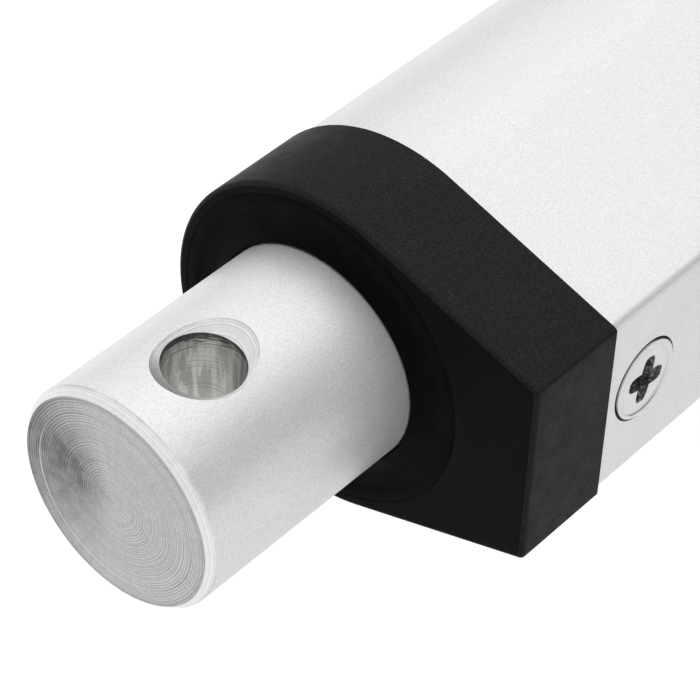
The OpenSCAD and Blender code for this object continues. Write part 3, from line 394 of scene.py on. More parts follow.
def thread(skin, x0, turns, pitch, end_r, root_r, crest_r, profile, angles, run=1.0):
    """A screw thread about X between the rings at x0 and x0 + pitch * (turns + 1).

    The rows follow the helix: a point of turn n and phase s, at the angle a,
    has station x0 + pitch * (n + s + a / 360 degrees), and its radius goes from
    root_r to crest_r with the profile's height at s. Over the first and last
    turns the radius fades to end_r. Two wedges of one turn fill the space
    between the helix and the plane rings at the ends.
    """
    phases, heights = np.array(profile).T
    whole = np.append(angles, angles[0] + TURN)
    lead = (whole - whole[0]) / TURN
    n = np.arange(turns)[:, None]
    s = np.append((n + phases).ravel(), turns)[:, None]
    h = np.append(np.tile(heights, turns), heights[0])[:, None]
    x = x0 + pitch * (s + lead)
    start, end = x0 + pitch, x0 + pitch * turns
    fade = np.clip((x - start) / (run * pitch), 0, 1) * np.clip((end - x) / (run * pitch), 0, 1)
    r = end_r + (root_r + (crest_r - root_r) * h - end_r) * fade
    skin.add(round_x(x, r, whole), wrap_columns=False)
    steps = np.append(phases, 1.0)[:, None]
    for wedge in (x0 + pitch * steps * lead, x0 + pitch * (turns + lead + steps * (1 - lead))):
        skin.add(round_x(wedge, end_r, whole), wrap_columns=False)


# Profiles of a thread over one pitch, as phase and share of the thread's height
METRIC = [(0.0, 0.0), (0.14, 0.0), (0.5, 1.0), (0.64, 1.0)]
TRAPEZOID = [(0.0, 0.0), (0.366, 0.0), (0.5, 1.0), (0.866, 1.0)]


# ---------------------------------------------------------------------- settings

def length(name, description, default):
    """A length property whose default is given in millimetres."""
    return FloatProperty(
        name=name, description=description, default=default * MM, unit="LENGTH", precision=5
    )


def colour(name, description, default):
    """A colour property."""
    return FloatVectorProperty(
        name=name, description=description, default=default, subtype="COLOR", size=3, min=0, max=1
    )


def degrees(name, description, default):
    """An angle property whose default is given in degrees."""
    return FloatProperty(
        name=name, description=description, default=math.radians(default), subtype="ANGLE"
    )


def amount(name, description, default):
    """A plain number as a property."""
    return FloatProperty(name=name, description=description, default=default)


class RodSettings(bpy.types.PropertyGroup):
    """Sizes and colours of the rod and its end plug."""

    chamfer: length("Chamfer", "Length of the chamfer along the rod at its end", 0.8)
    chamfer_depth: length("Chamfer depth", "Depth of that chamfer below the surface", 0.6)
    rim: length("Countersink rim", "Radius of the countersinks of the cross hole", 4.75)
    rim_depth: length("Countersink depth", "Depth of those countersinks on the rod's crest", 1.05)
    waist: length("Plug waist", "Room between the plug's waist and the rod tube", 0.04)
    ring_pitch: length("Ring pitch", "Distance between the turning marks of the end face", 0.24)
    ring_depth: length("Ring depth", "Depth of those turning marks", 0.016)
    tube_colour: colour("Rod colour", "Colour of the satin rod", (0.86, 0.86, 0.86))
    plug_colour: colour("Plug colour", "Reflection colour of the turned end face", (0.67, 0.668, 0.66))


class TubeSettings(bpy.types.PropertyGroup):
    """Sizes and colour of the body tube."""

    flat_half: length("Flat half width", "Half width of the tube's flat side", 8.85)
    edge_round: length("Edge rounding", "Rounding of the flat side's two edges", 1.0)
    play: length("Screw play", "Play between the cap screw and the tube's wall", 0.1)
    drift: length("Countersink drift", "How far the cap screw's countersink was cut off its centre", 0.12)
    tube_colour: colour("Tube colour", "Colour of the anodised tube", (0.85, 0.85, 0.85))


class CapSettings(bpy.types.PropertyGroup):
    """Sizes and colours of the front cap and the wiper seal."""

    front_round: length("Front rounding", "Rounding of the cap's front edge", 0.45)
    edge_round: length("Edge rounding", "Rounding of the cap's long edges", 0.4)
    spigot_wall: length("Spigot wall", "Wall of the spigot around the guide bush", 1.4)
    seal_seat: length("Seal seat", "Depth of the wiper seal's seat", 3.0)
    cap_colour: colour("Cap colour", "Colour of the moulded caps", (0.0110, 0.0110, 0.0114))
    seal_colour: colour("Seal colour", "Colour of the rubber", (0.0030, 0.0030, 0.0032))


class ScrewSettings(bpy.types.PropertyGroup):
    """Sizes and colour of the lead screw and the fasteners."""

    lead: length("Lead", "Travel of the rod for one turn of the lead screw", 3.0)
    lead_depth: length("Lead screw thread", "Depth of the lead screw's thread", 1.5)
    coarse_pitch: length("M4 pitch", "Pitch of the larger screws", 0.7)
    fine_pitch: length("M3 pitch", "Pitch of the smaller screws", 0.5)
    screw_colour: colour("Screw colour", "Reflection colour of the plated screws", (0.72, 0.72, 0.71))


class HousingSettings(bpy.types.PropertyGroup):
    """Sizes and colours of the gear housing and the motor's shell."""

    casting_colour: colour(
        "Casting colour", "Paint of the housing and the rear cover", (0.011, 0.011, 0.012))
    shell_colour: colour("Motor tube colour", "Colour of the tube round the motor", (0.85, 0.85, 0.86))
    end_round: length("End rounding", "Rounding of the motor end cap's edge", 2.5)


class StageSettings(bpy.types.PropertyGroup):
    """Camera, floor and light."""

    azimuth: degrees("Azimuth", "Angle of the camera from +X towards +Y", 38.907)
    elevation: degrees("Elevation", "Angle of the camera above the floor", 42.177)
    roll: degrees("Roll", "Turn of the camera about its own axis", 2.618)
    distance: length("Distance", "Distance of the camera from its look-at point", 247.816)
    target: FloatVectorProperty(
        name="Look-at point", description="Point that the camera looks at", subtype="TRANSLATION",
        default=(188.526 * MM, 1.897 * MM, 0.003 * MM))
    lens: amount("Lens", "Focal length on a 36 mm sensor, in millimetres", 157.35)
    key_power: amount("Key lamp", "Power of the softbox above, in watts", 7.8)
    fill_power: amount("Fill lamp", "Power of the side lamp, in watts", 0.2)
    ambient: amount("Ambient", "Strength of the light from all round", 0.42)


SETTINGS = {
    "rod": RodSettings, "tube": TubeSettings, "cap": CapSettings, "screws": ScrewSettings,
    "housing": HousingSettings, "stage": StageSettings,
}


def settings(group):
    """The values of one group of settings, in metres where they are lengths."""
    return getattr(bpy.context.scene, "actuator_" + group)


# ---------------------------------------------------------------------- finishes

class Shader:
    """A material of one Principled shader, with patterns on Object coordinates."""

    def __init__(self, name, base, roughness, metallic=0.0, specular=0.5, **constants):
        self.material = bpy.data.materials.new(name)
        self.material.use_nodes = True
        self.tree = self.material.node_tree
        self.shader = self.tree.nodes["Principled BSDF"]
        self.base = tuple(base) + (1.0,)
        self.set(Base_Color=self.base, Roughness=roughness, Metallic=metallic, Specular_IOR_Level=specular)
        self.set(**constants)
        self.place = self.tree.nodes.new("ShaderNodeTexCoord").outputs["Object"]
        self.last_normal = None

    def set(self, **sockets):
        """Sets sockets of the shader by name, with _ for a space."""
        for name, value in sockets.items():
            self.shader.inputs[name.replace("_", " ")].default_value = value

    def node(self, kind, inputs=None, **options):
        """A new node with its inputs linked or set, and its options set."""
        made = self.tree.nodes.new("ShaderNode" + kind)
        for name, value in options.items():
            setattr(made, name, value)
        for name, value in (inputs or {}).items():
            if isinstance(value, bpy.types.NodeSocket):
                self.tree.links.new(value, made.inputs[name])
            else:
                made.inputs[name].default_value = value
        return made

    def noise(self, size, detail=2.0, stretch=(1, 1, 1), offset=0.0):
        """Clouds whose grains are about size millimetres across, drawn out along an axis by stretch."""
        scale = tuple(1 / (size * MM * s) for s in stretch)
        spot = self.node("Mapping", {"Vector": self.place, "Scale": scale, "Location": (offset,) * 3})
        made = self.node("TexNoise", {"Vector": spot.outputs[0], "Scale": 1.0, "Detail": detail})
        return made.outputs["Fac"]

    def specks(self, size, share):
        """1 inside round specks that stand size millimetres apart and fill about a share of it."""
        spot = self.node("Mapping", {"Vector": self.place, "Scale": (1 / (size * MM),) * 3})
        cells = self.node("TexVoronoi", {"Vector": spot.outputs[0], "Scale": 1.0})
        chosen = self.between(cells.outputs["Color"], 0.62, 0.7)
        dots = self.between(cells.outputs["Distance"], share, share * 0.6)
        return self.times(chosen, dots)

    def rings(self, value, size, detail=2.0):
        """Clouds over one value only, which go through a grain in size of it."""
        scaled = self.math("DIVIDE", value, size)
        made = self.node("TexNoise", {"W": scaled, "Scale": 1.0, "Detail": detail}, noise_dimensions="1D")
        return made.outputs["Fac"]

    def between(self, value, low, high, bottom=0.0, top=1.0, curve="LINEAR"):
        """Value as it goes from low to high, turned into bottom to top."""
        return self.node("MapRange", {
            "Value": value, "From Min": low, "From Max": high, "To Min": bottom, "To Max": top
        }, interpolation_type=curve).outputs["Result"]

    def math(self, operation, a, b=0.0):
        """One operation on two values or sockets."""
        return self.node("Math", {0: a, 1: b}, operation=operation).outputs[0]

    def times(self, a, b):
        """Product of two values or sockets."""
        return self.math("MULTIPLY", a, b)

    def radius(self, y=0.0):
        """Distance from an axis along X through y, in millimetres."""
        parts = self.node("SeparateXYZ", {"Vector": self.place})
        squares = [
            self.math("POWER", self.math("SUBTRACT", parts.outputs["Y"], y * MM), 2.0),
            self.math("POWER", parts.outputs["Z"], 2.0),
        ]
        return self.math("DIVIDE", self.math("SQRT", self.math("ADD", *squares)), MM)

    def along(self, axis="X"):
        """Place along an axis, in millimetres."""
        return self.math("DIVIDE", self.node("SeparateXYZ", {"Vector": self.place}).outputs[axis], MM)

    def wave(self, value, pitch):
        """A sine of value that repeats with pitch, between -1 and 1."""
        return self.math("SINE", self.times(value, TURN / pitch))

    def tint(self, share, other):
        """Mixes the base colour towards another colour by a share."""
        source = self.shader.inputs["Base Color"]
        before = source.links[0].from_socket if source.links else None
        mixed = self.node("Mix", data_type="RGBA")
        self.tree.links.new(share, mixed.inputs["Factor"])
        if before:
            self.tree.links.new(before, mixed.inputs["A"])
        else:
            mixed.inputs["A"].default_value = self.base
        mixed.inputs["B"].default_value = tuple(other) + (1.0,)
        self.tree.links.new(mixed.outputs["Result"], source)

    def shade(self, share, amount):
        """Darkens the base colour by up to an amount where share is 1."""
        self.tint(share, tuple(c * (1 - amount) for c in self.base[:3]))

    def shade_more(self, share, amount):
        """Darkens what the base colour has become by up to an amount where share is 1."""
        factor = self.math("SUBTRACT", 1.0, self.times(share, amount))
        source = self.shader.inputs["Base Color"]
        before = source.links[0].from_socket
        scaled = self.node("VectorMath", {0: before, "Scale": factor}, operation="SCALE")
        self.tree.links.new(scaled.outputs["Vector"], source)

    def rough(self, value, low, high):
        """Roughness between low and high as value goes through its middle range."""
        self.tree.links.new(self.between(value, 0.3, 0.7, low, high), self.shader.inputs["Roughness"])

    def bump(self, height, depth):
        """Relief of a given depth in millimetres."""
        made = self.node("Bump", {"Height": height, "Distance": depth * MM, "Strength": 1.0})
        if self.last_normal:
            self.tree.links.new(self.last_normal, made.inputs["Normal"])
        self.last_normal = made.outputs["Normal"]
        self.tree.links.new(self.last_normal, self.shader.inputs["Normal"])


def metal(name, base, roughness, grain=0.25, depth=0.004, lines=None, mottle=0.08):
    """A metal with fine grain, mottled shine and, if lines is given, marks drawn out along an axis."""
    made = Shader(name, base, roughness, metallic=0.8)
    fine = made.noise(grain, 3.0)
    broad = made.noise(grain * 14, 2.0, offset=3.0)
    made.bump(fine, depth)
    if lines:
        marks = made.noise(0.12, 2.0, lines, offset=7.0)
        made.bump(marks, depth * 1.5)
    made.rough(broad, roughness * 0.85, min(1.0, roughness * 1.2))
    made.shade(made.between(fine, 0.35, 0.75), mottle)
    return made


def plastic(name, base, roughness, grain=0.3, depth=0.01, specular=0.4, dust=0.0, **constants):
    """A moulded plastic with a fine eroded texture and, if dust is given, pale specks."""
    made = Shader(name, base, roughness, specular=specular, **constants)
    fine = made.noise(grain, 3.0)
    made.bump(fine, depth)
    made.rough(made.noise(grain * 9, 2.0, offset=5.0), roughness * 0.9, min(1.0, roughness * 1.12))
    if dust:
        made.tint(made.times(made.specks(0.55, 0.22), dust), (0.35, 0.35, 0.34))
    return made


def satin(name, base, grain, lines=None):
    """Blasted and anodised aluminium: pale, with a fine sparkling grain and no sharp reflection."""
    made = Shader(name, base, 0.42, metallic=0.42)
    fine = made.noise(grain, 2.0)
    made.bump(fine, 0.009)
    made.bump(made.noise(grain * 0.45, 2.0, offset=4.0), 0.003)
    if lines:
        made.bump(made.noise(0.12, 2.0, lines, offset=7.0), 0.003)
    made.rough(made.noise(2.5, 2.0, offset=9.0), 0.39, 0.45)
    made.shade(made.between(fine, 0.42, 0.68), 0.15)
    made.tint(made.between(made.noise(grain * 0.8, 2.0, offset=2.0), 0.58, 0.74), (1.0, 1.0, 1.0))
    return made


def turned_plug():
    """Turned face: circles about the rod's axis, each with its own shine, and a painted shade sector to one
    side of the middle: a darker wedge that stands in for the turned face's reflection."""
    rod = settings("rod")
    made = Shader("Turned plug", rod.plug_colour, 0.34, metallic=0.9)
    parts = made.node("SeparateXYZ", {"Vector": made.place})
    angle = made.math("ARCTAN2", parts.outputs["Z"], parts.outputs["Y"])
    radius = made.radius()
    wander = made.math("ADD", radius, made.between(made.noise(3.0, 1.0), 0.3, 0.7, -0.06, 0.06))
    marks = made.rings(wander, 0.10, 3.0)
    made.bump(marks, 0.006)
    made.bump(made.noise(0.25, 2.0), 0.002)
    # The painted shade sector opens at 98 degrees from +Y, is darkest near 164 and closes at 275.
    turned = made.math("MODULO", made.math("ADD", angle, TURN), TURN)
    shade_sector = made.times(
        made.between(turned, math.radians(98), math.radians(168), curve="SMOOTHSTEP"),
        made.between(turned, math.radians(275), math.radians(160), curve="SMOOTHSTEP"),
    )
    reach = made.times(made.between(radius, 0.3, 3.6), made.between(radius, 5.5, 9.5, 1.0, 0.8))
    patchy = made.between(made.noise(1.1, 3.0, offset=12.0), 0.35, 0.65, 0.75, 1.1)
    # Painted shade: the sector is darkened, patchy, and fades near the middle and towards the rim.
    made.shade(made.times(made.times(shade_sector, reach), patchy), 0.68)
    made.shade_more(made.between(marks, 0.42, 0.58), 0.30)
    # The grooves show darker inside the painted shade sector.
    grooves = made.between(made.wave(wander, rod.ring_pitch / MM), -0.6, 1.0)
    made.shade_more(grooves, made.between(shade_sector, 0.0, 1.0, 0.20, 0.42))
    made.shade_more(made.between(radius, ROD_R - 1.3, ROD_R - 0.7), 0.16)
    made.shade_more(made.between(made.rings(angle, 0.11, 2.0), 0.42, 0.7), 0.06)
    made.shade_more(made.between(made.noise(0.7, 2.0, offset=6.0), 0.45, 0.8), 0.08)
    made.shade_more(made.between(made.noise(0.12, 2.0, offset=9.0), 0.44, 0.68), 0.20)
    made.rough(made.noise(1.8, 2.0, offset=2.0), 0.30, 0.38)
    return made


def machined_edge():
    """Freshly cut aluminium: bright, with fine lines that follow the cutter round the rod.
    The countersink's side towards the rod's end is darkened with painted shade, and the chamfer is the
    smoothest."""
    made = Shader("Machined edge", (0.97, 0.97, 0.965), 0.34, metallic=0.6)
    radius, station = made.radius(), made.along()
    chamfer = ROD_END - 3.0, ROD_END - 1.5
    marks = made.rings(radius, 0.08, 2.0)
    made.bump(marks, 0.005)
    made.shade(made.times(made.between(marks, 0.42, 0.58), made.between(station, *chamfer, 1.0, 0.5)), 0.26)
    # Painted shade on the countersink's side towards the rod's end, not on the chamfer.
    shaded_side = made.between(station, EYE_AT[0] + 2.0, EYE_AT[0] + 4.4)
    made.shade_more(made.times(shaded_side, made.between(station, *chamfer, 1.0, 0.0)), 0.42)
    # A ragged darker line just inside the outer rim of the countersinks and the chamfer.
    edge_line = made.between(made.noise(2.6, 3.0, offset=1.0), 0.36, 0.60)
    made.shade_more(made.times(made.between(radius, ROD_R - 0.18, ROD_R - 0.06), edge_line), 0.26)
    made.shade_more(made.between(made.noise(0.5, 3.0, offset=6.0), 0.45, 0.8), 0.10)
    return made


def drilled_wall():
    """Walls of the cross hole: streaks along the drill, over rings left by its turns, and a ragged band of
    painted shade just below the countersink."""
    made = Shader("Drilled wall", (0.97, 0.962, 0.945), 0.30, metallic=0.85)
    floor = sink_cone()[1]
    height = made.along("Z")
    streaks = made.noise(0.55, 3.0, (1, 1, 9), offset=3.0)
    cuts = made.rings(height, 0.22, 2.0)
    made.bump(cuts, 0.010)
    made.bump(made.noise(0.2, 2.0), 0.003)
    made.shade(made.between(streaks, 0.44, 0.58), 0.34)
    made.shade_more(made.between(cuts, 0.45, 0.7), 0.22)
    # Painted shade: a dark ragged band on the wall just below the countersink, where the hole's upper wall
    # lies in shade.
    ragged = made.between(made.noise(0.5, 3.0, (2, 2, 0.4), offset=5.0), 0.3, 0.7, -0.5, 0.5)
    made.shade_more(made.between(made.math("ADD", height, ragged), floor - 0.85, floor - 0.25), 0.84)
    return made


def recess_shade():
    """Walls of a screw's recess: painted shade, a dark dull metal with paler blotches of grime."""
    # Painted shade: a dark base colour stands in for the shade deep in the recess.
    made = Shader("Recess wall shade", (0.06, 0.058, 0.055), 0.5, metallic=0.6)
    grime = made.noise(0.3, 3.0)
    made.bump(grime, 0.02)
    made.tint(made.between(grime, 0.48, 0.66), (0.32, 0.315, 0.31))
    return made


def hole_shade():
    """Cut wall round a countersunk screw: painted shade, where little light comes, with darker blotches."""
    # Painted shade: a dark grey base stands in for the shade in the narrow gap round the screw's head.
    made = Shader("Countersink wall shade", (0.12, 0.12, 0.12), 0.5, metallic=0.5)
    made.shade(made.noise(0.4, 3.0), 0.5)
    return made


def laminations():
    """Stacked sheets half a millimetre thick."""
    made = metal("Lamination steel", (0.33, 0.33, 0.34), 0.42)
    sheets = made.wave(made.along(), 0.5)
    made.bump(sheets, 0.03)
    made.shade(made.between(sheets, -1.0, -0.6, 1.0, 0.0), 0.5)
    return made


def enamelled_copper():
    """Varnished wire: glossy turns round each bundle."""
    made = Shader("Enamelled copper", (0.62, 0.23, 0.08), 0.28, metallic=0.85, Coat_Weight=0.6)
    wires = made.wave(made.math("ADD", made.along(), made.radius(MOTOR_Y)), 0.55)
    made.bump(wires, 0.12)
    # Painted shade in the valleys between the turns.
    made.shade(made.between(wires, -1.0, -0.5, 1.0, 0.0), 0.45)
    return made


def circuit_board():
    """Green solder mask with the faint weave of the glass cloth under it."""
    made = Shader("Circuit board", (0.012, 0.085, 0.03), 0.32, Coat_Weight=0.4)
    weave = made.times(made.wave(made.along("X"), 0.5), made.wave(made.along("Z"), 0.5))
    made.bump(weave, 0.006)
    made.shade(made.between(weave, -1.0, 1.0), 0.15)
    return made


def black_moulding():
    """Moulded cap with an eroded surface: a fine pale grain over long shallow waves."""
    made = plastic("Black moulding", settings("cap").cap_colour, 0.50, 0.20, 0.010, 0.055, dust=0.035)
    made.tint(made.between(made.noise(0.14, 2.0, offset=4.0), 0.42, 0.75), (0.029, 0.029, 0.028))
    made.bump(made.noise(1.6, 2.0, offset=8.0), 0.008)
    return made


def smooth_shaded_moulding():
    """The cap's front, moulded against a polished plate: smoother than its textured sides, and darker by
    painted shade.
    """
    # Painted shade: the front takes three tenths of the cap's colour.
    dark = tuple(0.3 * c for c in settings("cap").cap_colour)
    made = plastic("Smooth shaded moulding", dark, 0.45, 0.3, 0.004, 0.03)
    made.tint(made.times(made.specks(0.3, 0.2), 0.06), (0.35, 0.33, 0.30))
    made.bump(made.noise(2.2, 2.0, offset=8.0), 0.006)
    return made


def black_casting():
    """Painted casting: an orange-peel coat over the grain of the mould."""
    made = plastic("Black casting", settings("housing").casting_colour, 0.44, 0.35, 0.014, 0.22, dust=0.06)
    made.bump(made.noise(1.1, 2.0, offset=8.0), 0.03)
    return made


def sintered_steel():
    """Pressed and sintered gears, with open pores."""
    made = metal("Sintered steel", (0.30, 0.29, 0.28), 0.46, 0.18, 0.01)
    made.shade(made.specks(0.25, 0.25), 0.6)
    return made


def black_rubber():
    """Rubber of the wiper seal and the grommet."""
    return plastic("Black rubber", settings("cap").seal_colour, 0.58, 0.25, 0.006, 0.03, dust=0.02)


def gasket_fibre():
    """Pressed fibre sheet, drawn out along the rolling direction."""
    made = plastic("Gasket fibre", (0.022, 0.024, 0.022), 0.8, 0.15, 0.03, 0.2)
    made.shade(made.noise(0.4, 4.0, (4, 1, 1), offset=3.0), 0.4)
    return made


# Plain finishes: the name, colour, roughness, grain and depth that metal() and
# plastic() take, and what else differs from their defaults
METALS = {
    "zinc_plate": ("Zinc plate", (0.66, 0.66, 0.65), 0.30, 0.5, 0.003, (1, 20, 20)),
    "bright_steel": ("Bright steel", (0.62, 0.62, 0.62), 0.20, 0.2, 0.002, (20, 20, 1)),
    "bearing_steel": ("Bearing steel", (0.58, 0.58, 0.59), 0.12, 0.3, 0.001, None, 0.04),
    "screw_steel": ("Rolled screw steel", (0.50, 0.50, 0.50), 0.24, 0.2, 0.003, (1, 30, 30)),
    "spring_steel": ("Spring steel", (0.20, 0.20, 0.23), 0.30, 0.3, 0.003),
    "bronze": ("Bronze", (0.52, 0.32, 0.14), 0.34, 0.2, 0.006),
    "brass": ("Brass", (0.66, 0.47, 0.20), 0.24, 0.25, 0.003),
    "tinned_brass": ("Tinned brass", (0.70, 0.68, 0.62), 0.28, 0.3, 0.003),
    "copper": ("Copper", (0.76, 0.36, 0.22), 0.24, 0.2, 0.003, (1, 30, 30)),
}
PLASTICS = {
    "ferrite": ("Ferrite", (0.035, 0.034, 0.036), 0.55, 0.2, 0.012, 0.5),
    "carbon": ("Carbon", (0.022, 0.022, 0.024), 0.48, 0.15, 0.01, 0.6),
    "dark_moulding": ("Dark moulding", (0.02, 0.02, 0.024), 0.42, 0.3, 0.006),
    "red_button": ("Red button", (0.50, 0.03, 0.02), 0.35, 0.3, 0.003),
}
FINISHES = {
    "blasted_rod": lambda: satin("Blasted rod", settings("rod").tube_colour, 0.16),
    "anodised_tube": lambda: satin("Anodised tube", settings("tube").tube_colour, 0.13, (160, 1, 1)),
    "anodised_shell": lambda: satin("Anodised shell", settings("housing").shell_colour, 0.13, (160, 1, 1)),
    "zinc_screw": lambda: metal("Zinc screw", settings("screws").screw_colour, 0.34, 0.12, 0.004),
    "acetal": lambda: plastic("Acetal", (0.80, 0.79, 0.74), 0.40, 0.4, 0.004, 0.4, Subsurface_Weight=0.08),
    "turned_plug": turned_plug,
    "machined_edge": machined_edge,
    "drilled_wall": drilled_wall,
    "recess_shade": recess_shade,
    "hole_shade": hole_shade,
    "black_moulding": black_moulding,
    "smooth_shaded_moulding": smooth_shaded_moulding,
    "black_casting": black_casting,
    "black_rubber": black_rubber,
    "gasket_fibre": gasket_fibre,
    "sintered_steel": sintered_steel,
    "lamination_steel": laminations,
    "enamelled_copper": enamelled_copper,
    "circuit_board": circuit_board,
}
made_finishes = {}


def finish(name):
    """The material of a slot of the record, or of one part of a piece, built once."""
    if name not in made_finishes:
        if name in METALS:
            made = metal(*METALS[name])
        elif name in PLASTICS:
            made = plastic(*PLASTICS[name])
        else:
            made = FINISHES[name]()
        made_finishes[name] = made.material
    return made_finishes[name]


# --------------------------------------------------------------------------- rod

def sink_cone():
    """Slope and start height of the cross hole's countersinks: (rim - hole) / depth of
    the radii, and the rod's radius less that depth."""
    rod = settings("rod")
    depth = rod.rim_depth / MM
    return (rod.rim / MM - EYE_R) / depth, ROD_R - depth


def eye_hole(side, sunk):
    """The rod's cross hole on one side of its axis, with or without the countersink."""
    slope, floor = sink_cone()

    def cone(phi, surface_r):
        return sunk_rim(phi, EYE_R, slope, floor, surface_r)

    return {
        "x": EYE_AT[0], "angle": EYE_ANGLE, "side": side, "columns": 14,
        "rim": cone if sunk else round_rim(EYE_R),
    }


def pin_hole(side):
    """The hole of a nut pin through the rod tube's wall."""
    low, high = box("nut_pins")
    return {
        "x": (low[0] + high[0]) / 2, "angle": TURN / 4, "side": side, "columns": 8,
        "rim": round_rim((high[0] - low[0]) / 2 + FIT),
    }


def end_rings(outer_r, inner_r):
    """Rows along a turned face from one circle to a smaller one, in rings:
    x = rod's end - depth * unevenness * (1 - cos(r / pitch)) / 2, flat within a
    fifth of a millimetre of either circle."""
    rod = settings("rod")
    pitch, depth = rod.ring_pitch / MM, rod.ring_depth / MM
    r = np.linspace(outer_r, inner_r, int((outer_r - inner_r) / pitch * 6) + 1)
    fade = np.clip(np.minimum(outer_r - r, r - inner_r) / 0.2, 0, 1)
    ring = (1 - np.cos(r * TURN / pitch)) / 2
    uneven = 0.65 + 0.35 * np.sin(r * 2.1) * np.sin(r * 0.77 + 1)
    return np.stack([ROD_END - depth * ring * fade * uneven, r], axis=-1)


def rod_tube():
    """The rod's tube: one closed turning whose profile runs along its outside,
    over the chamfer and the end face and back through the bore, with the cross
    hole, its countersinks and the two pin holes cut through both walls."""
    rod = settings("rod")
    chamfer = rod.chamfer / MM
    face_r = ROD_R - rod.chamfer_depth / MM
    half_window, pin_half, edge, soft = 6.6, 2.6, 0.4, 0.02
    angles = even_angles(ROD_COLUMNS, EYE_ANGLE)
    eye = straight(EYE_AT[0] - half_window, EYE_AT[0] + half_window, EYE_CELLS)
    pin_x = pin_hole(1)["x"]
    pin_window = straight(pin_x - pin_half, pin_x + pin_half, 12)
    back = ROD_LOW[0]
    outside = np.concatenate([
        [back + edge], pin_window, straight(pin_x + 8, eye[0] - 1, 24), eye, [ROD_END - chamfer]
    ])
    rows = np.concatenate([
        [[back, ROD_R - edge]],
        np.stack([outside, np.full(len(outside), ROD_R)], axis=-1),
        [[ROD_END - soft, face_r + soft]],
        end_rings(face_r, ROD_BORE_R + 0.04),
        [[ROD_END - 0.05, ROD_BORE_R]],
        np.stack([outside[::-1], np.full(len(outside), ROD_BORE_R)], axis=-1)[1:],
        [[back, ROD_BORE_R]],
    ])
    skin = Skin()
    skip = np.zeros((len(rows), len(angles)), bool)
    for side in (1, -1):
        sunk = eye_hole(side, True)
        phi = cut_window(skin, rows, angles, skip, ROD_R, eye, sunk)
        cut_window(skin, rows, angles, skip, ROD_BORE_R, eye, eye_hole(side, False))
        countersink(skin, sunk, phi, sunk["rim"](phi, ROD_R))
        pin = pin_hole(side)
        for radius in (ROD_R, ROD_BORE_R):
            phi = cut_window(skin, rows, angles, skip, radius, pin_window, pin)
        rim = pin["rim"](phi, ROD_R)
        walls = [np.sqrt(r ** 2 - (rim * np.sin(phi)) ** 2) for r in (ROD_R, ROD_BORE_R)]
        hole_wall(skin, pin, phi, np.stack([rim] * 2), np.stack(walls))
    skin.add(lathe(rows, angles), wrap_rows=True, skip=skip)
    piece = add_piece(skin.mesh("blasted_rod_tube", 24), "rod", "blasted_rod", "rod_tube")

    def inside(centres):
        return np.hypot(centres[:, 1], centres[:, 2]) < ROD_R - 0.012

    def near_eye(centres):
        return np.abs(centres[:, 0] - EYE_AT[0]) < half_window - 1

    part_finish(piece, "machined_edge", lambda c: inside(c) & (near_eye(c) | (c[:, 0] > ROD_END - chamfer)))
    part_finish(piece, "turned_plug", lambda c: c[:, 0] > ROD_END - 1.2 * rod.ring_depth / MM)
    part_finish(piece, "drilled_wall", lambda c: inside(c) & near_eye(c) & (hole_distance(c) < EYE_R + 0.01))


def countersink(skin, hole, phi, rim):
    """Cone from the rim down to the hole, and the hole's wall below it: radius and height
    go in equal steps from the rim's to the hole's, with fine chatter rings on the radius."""
    floor = sink_cone()[1]
    top = np.sqrt(ROD_R ** 2 - (rim * np.sin(phi)) ** 2)
    bottom = np.sqrt(ROD_BORE_R ** 2 - (EYE_R * np.sin(phi)) ** 2)
    share = np.linspace(0, 1, 55)[:, None]
    # Nine rings, which fade towards both ends of the cone.
    chatter = 0.011 * np.sin(share * TURN * 9) * np.clip(np.sin(share * math.pi) * 3, 0, 1)
    radii = rim + (EYE_R - rim) * share + chatter
    heights = top + (np.minimum(floor, top) - top) * share
    lower = np.linspace(0, 1, 7)[1:, None]
    radii = np.concatenate([radii, EYE_R + 0 * phi * lower])
    heights = np.concatenate([heights, heights[-1] + (bottom - heights[-1]) * lower])
    hole_wall(skin, hole, phi, radii, heights)


